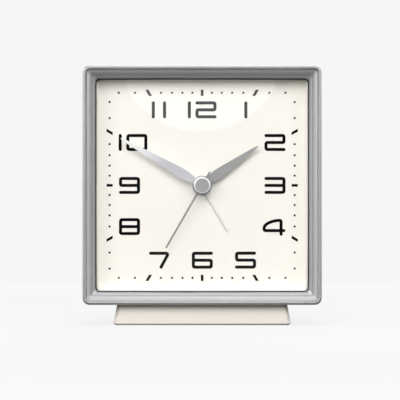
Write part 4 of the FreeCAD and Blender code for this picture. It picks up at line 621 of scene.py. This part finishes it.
def addSideLines(finish, pitch, amount):
    tree = finish.node_tree
    skin = tree.nodes["Principled BSDF"]
    before = skin.inputs["Base Color"].links[0].from_socket
    lines = addGroup(finish, sideLinesGroup, Centre=tuple(middle), Pitch=pitch, Amount=amount)
    tree.links.new(before, lines.inputs["Colour"])
    tree.links.new(lines.outputs["Colour"], skin.inputs["Base Color"])
    return finish


def addRelief(finish, group, depth, strength=0.5, **values):
    # a second, coarser relief under the fine grain, which also changes the gloss
    tree = finish.node_tree
    relief = addGroup(finish, group, **values)
    under = tree.nodes.new("ShaderNodeBump")
    under.inputs["Strength"].default_value = strength
    under.inputs["Distance"].default_value = depth
    tree.links.new(relief.outputs["Height"], under.inputs["Height"])
    tree.links.new(under.outputs["Normal"], tree.nodes["bump"].inputs["Normal"])
    tree.links.new(relief.outputs["Mask"], tree.nodes["gloss"].inputs["Value"])
    return finish


def addTraces(finish, colour, pitch):
    tree = finish.node_tree
    traces = addGroup(finish, tracesGroup, Pitch=pitch)
    lacquer = tree.nodes["tone"].outputs["Colour"]
    blend = linkBlend(tree, traces.outputs["Mask"], lacquer, (*srgb(*colour), 1))
    tree.links.new(blend, tree.nodes["Principled BSDF"].inputs["Base Color"])
    return finish


def addAlong(finish, near, far, centre, direction, start, end):
    tree = finish.node_tree
    along = addGroup(finish, alongGroup, Centre=centre, Direction=direction, Start=start, End=end,
                     Near=(*srgb(*near), 1), Far=(*srgb(*far), 1))
    tree.links.new(along.outputs["Colour"], tree.nodes["tone"].inputs["Colour"])
    return finish


def addThinShadow(finish, share):
    # a hand stops only this share of the lamps' light, so its shadow on the dial is faint
    tree = finish.node_tree
    clear = tree.nodes.new("ShaderNodeBsdfTransparent")
    rays = tree.nodes.new("ShaderNodeLightPath")
    passing = linkMath(tree, "MULTIPLY", rays.outputs["Is Shadow Ray"], 1 - share)
    either = linkShaders(tree, passing, tree.nodes["Principled BSDF"], clear)
    tree.links.new(either.outputs[0], tree.nodes["Material Output"].inputs["Surface"])
    return finish


def pointing(angle):
    return (math.sin(math.radians(angle)), 0, math.cos(math.radians(angle)))


finishes = {
    "silver_bezel": addSideLines(addFlake(
        makeFinish("silverBezel", (190, 190, 192), 0.42, metallic=0.65, drift=0.03, grain=0.06),
        0.12), 0.8 * mm, 1.1),
    "silver_case": addFlake(
        makeFinish("silverCase", (186, 186, 189), 0.54, metallic=0.4, specular=0.3, drift=0.03), 0.12),
    "rear_plastic": makeFinish("rearPlastic", (50, 51, 54), 0.52, grain=0.5, grainScale=2200, drift=0.08),
    "screw_steel": makeFinish("screwSteel", (178, 178, 180), 0.3, metallic=1.0, stretch=(1, 1, 0.15)),
    "cream_plinth": makeFinish("creamPlinth", (223, 217, 208), 0.42, drift=0.012, grain=0.12,
                               grainScale=2400),
    "base_rubber": makeFinish("baseRubber", (205, 200, 192), 0.8, grain=0.6, grainScale=1500),
    "seal_rubber": makeFinish("sealRubber", (20, 20, 21), 0.7, grain=0.3, specular=0.3),
    "dial_cream": makeFinish("dialCream", (252, 249, 241), 0.62, drift=0.006, grain=0.06, grainScale=5000),
    "dial_ink": makeFinish("dialInk", (12, 11, 10), 0.8, drift=0.15, driftScale=400, specular=0.04),
    "hand_metal": makeFinish("handMetal", (190, 190, 192), 0.35, metallic=0.6),
    "hour_hand_grey": makeFinish("hourHandGrey", (170, 170, 170), 0.4, metallic=0.4, stretch=(0.3, 1, 1)),
    # the minute hand's colour brightens from near the hub to the tip: a painted reflection
    "minute_hand_silver": addThinShadow(addAlong(
        makeFinish("minuteHandSilver", (212, 212, 216), 0.35, metallic=0.15, stretch=(1, 1, 0.3)),
        (205, 205, 209), (246, 246, 247), tuple(middle), pointing(300), 17 * mm, 37 * mm), 0.5),
    "second_hand_grey": addThinShadow(
        makeFinish("secondHandGrey", (160, 160, 158), 0.4, metallic=0.4), 0.3),
    "cap_metal": addRelief(
        makeFinish("capMetal", (190, 190, 192), 0.3, metallic=0.45),
        ringsGroup, 0.01 * mm, strength=0.4, Centre=tuple(middle), Pitch=0.12 * mm),
    "alarm_hand_silver": makeFinish("alarmHandSilver", (244, 244, 243), 0.4, metallic=0.05),
    "movement_plastic": makeFinish("movementPlastic", (225, 225, 220), 0.5, grain=0.3, grainScale=2000),
    "gear_plastic": makeFinish("gearPlastic", (232, 228, 216), 0.45, grain=0.15),
    "gear_brass": makeFinish("gearBrass", (200, 168, 96), 0.3, metallic=1.0, grain=0.2,
                             stretch=(1, 1, 0.2)),
    "magnet_steel": makeFinish("magnetSteel", (120, 122, 126), 0.35, metallic=1.0, stretch=(0.2, 1, 1)),
    "knob_plastic": makeFinish("knobPlastic", (36, 36, 38), 0.42, grain=0.3, grainScale=2600),
    "coil_copper": addRelief(
        makeFinish("coilCopper", (184, 104, 62), 0.35, metallic=1.0, drift=0.15),
        wireGroup, 0.12 * mm, Pitch=0.26 * mm),
    "board_green": addTraces(
        makeFinish("boardGreen", (30, 84, 54), 0.35, coat=0.4), (74, 140, 88), 1.6 * mm),
    "chip_black": makeFinish("chipBlack", (24, 24, 26), 0.55, grain=0.4, grainScale=4000),
    "contact_nickel": makeFinish("contactNickel", (198, 195, 186), 0.26, metallic=1.0, stretch=(0.2, 1, 1)),
    "switch_plastic": makeFinish("switchPlastic", (224, 222, 216), 0.42, grain=0.2),
    "button_plastic": makeFinish("buttonPlastic", (196, 196, 196), 0.45, grain=0.25, grainScale=2600),
    "battery_wrap": addAlong(makeFinish("batteryWrap", (90, 120, 104), 0.3, coat=0.3),
                             (58, 104, 84), (196, 198, 196), (0, 0, 0), (1, 0, 0), 14 * mm, 14.4 * mm),
    "lead_plastic": makeFinish("leadPlastic", (168, 44, 38), 0.42, coat=0.2),
    # these two aren't slots of the record: the cap's rim, made paler than the face as a painted highlight,
    # and the print on the back
    "capRimPaintedHighlight": makeFinish("capRimPaintedHighlight", (250, 250, 251), 0.3, metallic=0.25),
    "rearPrint": makeFinish("rearPrint", (214, 213, 208), 0.6, driftScale=300),
}


def makeGlass(name, ior, roughness):
    # light for the dial goes straight through, and only what is seen bends and reflects
    glass = bpy.data.materials.new(name)
    glass.use_nodes = True
    tree = glass.node_tree
    skin = tree.nodes["Principled BSDF"]
    skin.inputs["Base Color"].default_value = (1, 1, 1, 1)
    skin.inputs["Transmission Weight"].default_value = 1.0
    skin.inputs["IOR"].default_value = ior
    skin.inputs["Roughness"].default_value = roughness
    clear = tree.nodes.new("ShaderNodeBsdfTransparent")
    rays = tree.nodes.new("ShaderNodeLightPath")
    passing = linkMath(tree, "MAXIMUM", rays.outputs["Is Shadow Ray"], rays.outputs["Is Diffuse Ray"])
    either = linkShaders(tree, passing, skin, clear)
    tree.links.new(either.outputs[0], tree.nodes["Material Output"].inputs["Surface"])
    return glass


finishes["window_lens"] = makeGlass("windowLens", 1.49, 0.0)


def dressNodes():
    for entry in frame["record"]["subparts"]:
        node = nodes[entry["node"]]
        finish = finishes[entry["material_slot"]]
        for place in node.material_slots:
            place.material = finish
        if not node.material_slots:
            node.data.materials.append(finish)


# each row of a profile is (depth behind the bezel's front, half width, corner), in millimetres
bezel = {
    "segments": 8,
    "profile": [
        (13.6, 55.0, 3.2), (1.0, 55.0, 3.2), (0.62, 54.93, 3.13), (0.29, 54.71, 2.95), (0.08, 54.38, 2.7),
        (0.0, 54.02, 2.4), (0.05, 53.78, 2.1), (0.2, 53.6, 1.9), (0.75, 53.3, 1.5), (1.12, 53.02, 1.3),
        (1.24, 52.8, 1.2), (1.38, 52.1, 1.05), (1.7, 51.62, 1.0), (1.86, 51.5, 0.95),
        (1.94, 51.32, 0.95), (2.3, 50.94, 0.95), (2.72, 50.54, 1.1), (2.88, 50.44, 1.2),
        (2.96, 50.26, 1.4), (3.4, 49.82, 1.7), (3.9, 49.34, 1.95), (5.2, 49.14, 1.9), (5.2, 51.0, 1.6),
        (14.0, 51.0, 1.6), (14.0, 54.6, 3.0),
    ],
    "edgeWidth": 0.05 * mm,
}


def onFront(depth, across=0.0, up=0.0):
    return middle + Vector((across, depth, up)) * mm


def ringFromProfile(settings):
    outlines = [addOutline(half * mm, half * mm, onFront(depth), corner * mm, settings["segments"], False)
                for depth, half, corner in settings["profile"]]
    return joinOutlines(outlines, closed=True)


def buildBezel(settings):
    piece = ringFromProfile(settings)
    softenEdges(piece, settings["edgeWidth"], angle=12)
    finishPiece(piece, "bezelFrame", "case", finishes["silver_bezel"],
                replaced=["bezel_frame"], angle=25)
    print("bezel made:", len(piece.data.polygons), "faces")


# a low plinth whose sides lean in towards the top
plinth = {
    "segments": 8,
    "y": -2.5,
    # (height, half width, half depth, corner)
    "rows": [(0.5, 40.7, 16.7, 2.8), (0.8, 40.93, 16.92, 3.0),
             (9.3, 39.35, 15.05, 3.0), (9.5, 39.3, 15.0, 3.0)],
}


def buildPlinth(settings):
    outlines = []
    for height, half, deep, corner in settings["rows"]:
        place = Vector((0, settings["y"], height)) * mm
        outlines.append(addOutline(half * mm, deep * mm, place, corner * mm, settings["segments"], True))
    piece = joinOutlines(outlines, closed=False)
    finishPiece(piece, "plinthBlock", "case", finishes["cream_plinth"],
                replaced=["plinth"])
    print("plinth made:", len(piece.data.polygons), "faces")


# the window: a shallow dome on a square skirt, with a flat rim that the seal clamps
lens = {
    "cuts": 40, "segments": 6,
    "outer": {"half": 48.7, "corner": 1.6, "radius": 600.0, "apex": 1.3},
    "inner": {"half": 47.2, "corner": 1.5, "radius": 598.4, "apex": 2.9},
    "rim": {"front": 5.6, "back": 7.2, "half": 50.85},
    # each sheet starts this much too big, and its border is caught this near to the wanted side
    "oversize": 1.003, "catch": 0.6, "cornerCatch": 0.5,
}


def combine(piece, other, operation):
    useModifier(piece, "BOOLEAN", object=other, operation=operation, solver="EXACT")
    bpy.data.objects.remove(other)


def reachOf(point):
    return max(abs(point.x), abs(point.z - middle.z)) / mm


def buildSheet(dome, settings):
    # a square of the dome, with straight sides and rounded corners
    clearSelection()
    half, cuts = dome["half"], settings["cuts"]
    bpy.ops.mesh.primitive_grid_add(
        x_subdivisions=cuts, y_subdivisions=cuts, size=half * 2 * settings["oversize"] * mm,
        location=onFront(dome["apex"]), rotation=(quarterTurn, 0, 0))
    sheet = bpy.context.object
    bpy.ops.object.transform_apply(location=True, rotation=True, scale=True)
    bpy.ops.object.empty_add(location=onFront(dome["apex"] + dome["radius"]))
    ball = bpy.context.object
    useModifier(sheet, "CAST", object=ball, cast_type="SPHERE", factor=1.0,
                size=dome["radius"] * mm, use_radius_as_size=False)
    bpy.data.objects.remove(ball)
    makeActive(sheet)
    bpy.ops.object.mode_set(mode="EDIT")
    bpy.ops.mesh.select_mode(type="EDGE")
    for across, up in ((1, 0), (-1, 0), (0, 1), (0, -1)):
        side = onFront(0, across * half, up * half)

        def nearSide(point):
            return (point.x - side.x) * across + (point.z - side.z) * up > -settings["catch"] * mm

        pickEdges(sheet, lambda low, high: nearSide(low) and nearSide(high), borderOnly=True)
        bpy.ops.transform.resize(value=(0 if across else 1, 1, 0 if up else 1), center_override=side)
    bpy.ops.mesh.select_mode(type="VERT")
    cornerFrom = (half - settings["cornerCatch"]) * mm
    pickPoints(sheet, lambda point: min(abs(point.x), abs(point.z - middle.z)) > cornerFrom)
    bpy.ops.mesh.bevel(offset=dome["corner"] * mm, segments=settings["segments"], affect="VERTICES")
    bpy.ops.object.mode_set(mode="OBJECT")
    return sheet


def buildLens(settings):
    outer, inner, rim = settings["outer"], settings["inner"], settings["rim"]
    window = buildSheet(outer, settings)
    back = buildSheet(inner, settings)
    makeActive(window)
    back.select_set(True)
    bpy.ops.object.join()
    bpy.ops.object.mode_set(mode="EDIT")
    bpy.ops.mesh.select_mode(type="EDGE")
    # the outer sheet's border only; a rounded corner's edges lie a little nearer to the middle
    split = (outer["half"] + inner["half"]) / 2 - settings["catch"] / 2
    pickEdges(window, lambda low, high: reachOf((low + high) / 2) > split, borderOnly=True)
    # the skirt goes back to the rim, out to its edge, back again, and in to the inner wall
    bpy.ops.mesh.extrude_region_move(TRANSFORM_OT_translate={"value": (0, mm, 0)})
    bpy.ops.transform.resize(value=(1, 0, 1), center_override=onFront(rim["front"]))
    bpy.ops.mesh.extrude_region_move(TRANSFORM_OT_translate={"value": (0, 0, 0)})
    grown = rim["half"] / outer["half"]
    bpy.ops.transform.resize(value=(grown, 1, grown), center_override=onFront(rim["front"]))
    bpy.ops.mesh.extrude_region_move(
        TRANSFORM_OT_translate={"value": (0, (rim["back"] - rim["front"]) * mm, 0)})
    bpy.ops.mesh.extrude_region_move(TRANSFORM_OT_translate={"value": (0, 0, 0)})
    shrunk = inner["half"] / rim["half"]
    bpy.ops.transform.resize(value=(shrunk, 1, shrunk), center_override=onFront(rim["back"]))
    pickEdges(window, lambda low, high: True, borderOnly=True)
    bpy.ops.mesh.bridge_edge_loops()
    bpy.ops.object.mode_set(mode="OBJECT")
    finishPiece(window, "domedWindow", "case", finishes["window_lens"],
                replaced=["lens"], angle=20)
    print("window made:", len(window.data.polygons), "faces")


# the black bead between the lip and the window; rows of (depth, half width, corner)
seal = {
    "segments": 6,
    "profile": [(5.58, 48.76, 1.6), (4.85, 48.76, 1.6), (4.68, 48.84, 1.62), (4.66, 48.94, 1.65),
                (4.74, 49.05, 1.7), (4.95, 49.1, 1.7), (5.24, 49.1, 1.7), (5.24, 50.8, 1.6),
                (5.58, 50.8, 1.6)],
}


def buildSeal(settings):
    bead = ringFromProfile(settings)
    finishPiece(bead, "windowSeal", "case", finishes["seal_rubber"],
                replaced=["lens_seal"], angle=40)
    print("seal made:", len(bead.data.polygons), "faces")


# the hands: (reach from the arbor, half width) along each blade, drawn pointing to twelve
hands = {
    "hourHand": {
        "node": "hour_hand", "body": "hour_train", "slot": "hour_hand_grey",
        "front": 8.45, "thickness": 0.35, "angle": 55, "edge": 0.08,
        "rows": [(0, 1.6), (4.2, 1.72), (5.6, 2.1), (7.4, 2.38), (9.0, 2.42), (12.0, 2.24),
                 (29.6, 0.6), (30.6, 0.46), (31.2, 0.3), (31.45, 0.12)],
        "hub": 4.3, "hubDepth": 0.9,
    },
    "minuteHand": {
        "node": "minute_hand", "body": "minute_train", "slot": "minute_hand_silver",
        "front": 7.35, "thickness": 0.35, "angle": 300, "edge": 0.08,
        "rows": [(0, 1.4), (4.6, 1.45), (6.4, 1.84), (8.6, 2.26), (10.6, 2.44), (13.6, 2.3),
                 (41.4, 0.58), (42.4, 0.46), (43.05, 0.3), (43.35, 0.12)],
        "hub": 4.1, "hubDepth": 0.9,
    },
    "alarmHand": {
        "node": "alarm_hand", "body": "alarm_train", "slot": "alarm_hand_silver",
        "front": 9.55, "thickness": 0.35, "angle": 150, "edge": 0.06,
        "rows": [(0, 0.75), (12.0, 0.6), (24.15, 0.45)],
        "hub": 4.2, "hubDepth": 0.35,
    },
    "secondHand": {
        "node": "second_hand", "body": "second_train", "slot": "second_hand_grey",
        "front": 6.3, "thickness": 0.35, "angle": 210, "edge": 0.06,
        "rows": [(-7.15, 0.48), (0, 0.48), (33.35, 0.42)],
        "hub": 2.0, "hubDepth": 0.35,
    },
}


def buildHand(name, settings):
    rows = settings["rows"]
    front = settings["front"]
    clearSelection()
    start, end = rows[0][0], rows[1][0]
    bpy.ops.mesh.primitive_plane_add(size=1, location=onFront(front, 0, (start + end) / 2),
                                     rotation=(quarterTurn, 0, 0))
    hand = bpy.context.object
    hand.scale = (rows[0][1] * 2 * mm, (end - start) * mm, 1)
    bpy.ops.object.transform_apply(location=True, rotation=True, scale=True)
    bpy.ops.object.mode_set(mode="EDIT")
    # the plane's far edge is the second row, and each later row is extruded from the one before
    before = rows[0]
    for number, (reach, half) in enumerate(rows[1:]):
        last = middle.z + (before[0] if number else reach) * mm
        pickEdges(hand, lambda low, high: low.z > last - hair)
        if number:
            bpy.ops.mesh.extrude_region_move(
                TRANSFORM_OT_translate={"value": (0, 0, (reach - before[0]) * mm)})
        share = half / before[1]
        bpy.ops.transform.resize(value=(share, 1, 1), center_override=onFront(front, 0, reach))
        before = (reach, half)
    bpy.ops.object.mode_set(mode="OBJECT")
    useModifier(hand, "SOLIDIFY", thickness=settings["thickness"] * mm, offset=-1)
    clearSelection()
    bpy.ops.mesh.primitive_cylinder_add(
        vertices=64, radius=settings["hub"] * mm, depth=settings["hubDepth"] * mm,
        location=onFront(front + settings["hubDepth"] / 2), rotation=(quarterTurn, 0, 0))
    hub = bpy.context.object
    bpy.ops.object.transform_apply(location=True, rotation=True, scale=True)
    combine(hand, hub, "UNION")
    softenEdges(hand, settings["edge"] * mm, angle=40)
    hand.location = -middle
    bpy.ops.object.transform_apply(location=True, rotation=False, scale=False)
    hand.rotation_euler = (0, math.radians(settings["angle"]), 0)
    bpy.ops.object.transform_apply(location=False, rotation=True, scale=False)
    hand.location = middle
    finishPiece(hand, name, settings["body"], finishes[settings["slot"]],
                replaced=[settings["node"]], angle=35, evened=True)
    print(name, "made:", len(hand.data.polygons), "faces")


# the turned cap that holds the second hand
cap = {
    "radius": 3.8, "front": 4.2, "height": 2.05, "vertices": 96, "edge": 0.05,
    # the rim's width and rise, then the (width, depth) of the steps inside it
    "slope": (0.58, 0.3), "rings": [(0.05, 0.0), (0.12, 0.03)],
    # faces that look forward by this much belong to the rim
    "rimFacing": (-0.97, -0.5),
}


def buildCap(settings):
    # the rim slopes gently forward to the flat face, and catches the lamps
    clearSelection()
    slopeWidth, rise = settings["slope"]
    height = settings["height"] - rise
    bpy.ops.mesh.primitive_cylinder_add(
        vertices=settings["vertices"], radius=settings["radius"] * mm, depth=height * mm,
        location=onFront(settings["front"] + rise + height / 2), rotation=(quarterTurn, 0, 0))
    disc = bpy.context.object
    bpy.ops.object.transform_apply(location=True, rotation=True, scale=True)
    bpy.ops.object.mode_set(mode="EDIT")
    pickFaces(disc, lambda centre, normal: normal.y < -0.9)
    bpy.ops.mesh.inset(thickness=slopeWidth * mm, depth=rise * mm)
    for width, drop in settings["rings"]:
        bpy.ops.mesh.inset(thickness=width * mm, depth=-drop * mm)
    bpy.ops.object.mode_set(mode="OBJECT")
    softenEdges(disc, settings["edge"] * mm)
    finishPiece(disc, "secondHandCap", "second_train", finishes["cap_metal"],
                replaced=["second_hand_cap"], evened=True)
    # the sloping rim gets a paler finish than the flat face: a painted highlight
    disc.data.materials.append(finishes["capRimPaintedHighlight"])
    flattest, steepest = settings["rimFacing"]
    for face in disc.data.polygons:
        face.material_index = 1 if flattest < face.normal.y < steepest else 0
    print("cap made:", len(disc.data.polygons), "faces")


# pale printed marks on the rear cover: turning arrows by the knobs, and words by the switch
rearMarks = {
    "face": 15.5, "thickness": 0.04, "steps": 18, "joinGap": 0.002,
    # (x, z) of the knob's middle, and the arrow's radius, start angle and sweep
    "arrows": [((14.1, 64.5), 8.4, 150, 70), ((0.0, 47.1), 7.6, 150, 70)],
    "arrowWidth": 0.45, "stub": 0.04, "headSize": 1.0, "headShift": 0.4,
    "words": [("ON", (-31.6, 64.2)), ("OFF", (-31.6, 58.4))],
    "wordSize": 2.9,
}


def buildArrow(place, radius, first, sweep, settings):
    # an arc spun from one short edge, ending in a head
    clearSelection()
    y = settings["face"] * mm
    hub = Vector((place[0] * mm, y, place[1] * mm))
    turn = math.radians(first)
    out = Vector((math.cos(turn), 0, math.sin(turn)))
    bpy.ops.mesh.primitive_plane_add(size=mm, location=hub + out * radius * mm,
                                     rotation=(quarterTurn, -turn, 0))
    arrow = bpy.context.object
    arrow.scale = (settings["arrowWidth"], settings["stub"], 1)
    bpy.ops.object.transform_apply(location=True, rotation=True, scale=True)
    bpy.ops.object.mode_set(mode="EDIT")
    bpy.ops.mesh.select_mode(type="EDGE")
    along = Vector((-math.sin(turn), 0, math.cos(turn)))
    near = hub + out * radius * mm
    pickEdges(arrow, lambda low, high: ((low + high) / 2 - near).dot(along) > hair)
    bpy.ops.mesh.spin(steps=settings["steps"], angle=-math.radians(sweep), center=hub, axis=(0, 1, 0))
    bpy.ops.object.mode_set(mode="OBJECT")
    last = turn + math.radians(sweep)
    tangent = Vector((-math.sin(last), 0, math.cos(last)))
    tip = hub + Vector((math.cos(last), 0, math.sin(last))) * radius * mm
    tip += tangent * settings["headSize"] * settings["headShift"] * mm
    clearSelection()
    bpy.ops.mesh.primitive_circle_add(
        vertices=3, radius=settings["headSize"] * mm, fill_type="NGON", location=tip,
        rotation=(quarterTurn, math.atan2(tangent.x, tangent.z), 0))
    bpy.ops.object.transform_apply(location=True, rotation=True, scale=True)
    arrow.select_set(True)
    bpy.context.view_layer.objects.active = arrow
    bpy.ops.object.join()
    return arrow


def buildWord(text, place, settings):
    clearSelection()
    bpy.ops.object.text_add(location=(place[0] * mm, settings["face"] * mm, place[1] * mm),
                            rotation=(quarterTurn, 0, math.pi))
    word = bpy.context.object
    word.data.body = text
    word.data.size = settings["wordSize"] * mm
    word.data.align_x = "CENTER"
    word.data.align_y = "CENTER"
    bpy.ops.object.convert(target="MESH")
    word = bpy.context.object
    bpy.ops.object.transform_apply(location=True, rotation=True, scale=True)
    return word


def buildRearMarks(settings):
    flat = [buildArrow(*arrow, settings) for arrow in settings["arrows"]]
    flat += [buildWord(text, place, settings) for text, place in settings["words"]]
    clearSelection()
    for mark in flat:
        mark.select_set(True)
    marks = flat[0]
    bpy.context.view_layer.objects.active = marks
    bpy.ops.object.join()
    bpy.ops.object.mode_set(mode="EDIT")
    bpy.ops.mesh.select_all(action="SELECT")
    bpy.ops.mesh.remove_doubles(threshold=settings["joinGap"] * mm)
    bpy.ops.mesh.extrude_region_move(TRANSFORM_OT_translate={"value": (0, settings["thickness"] * mm, 0)})
    bpy.ops.object.mode_set(mode="OBJECT")
    finishPiece(marks, "rearMarks", "case", finishes["rearPrint"])
    print("rear marks made:", len(marks.data.polygons), "faces")


dressNodes()
placeCamera(camera)
for lampName, lampSettings in lamps.items():
    placeLamp(lampName, lampSettings)
buildRoom(room)
bpy.context.scene.view_settings.view_transform = "Standard"
print("camera, lamps and room made")
buildBezel(bezel)
buildPlinth(plinth)
buildLens(lens)
buildSeal(seal)
for handName, handSettings in hands.items():
    buildHand(handName, handSettings)
buildCap(cap)
buildRearMarks(rearMarks)
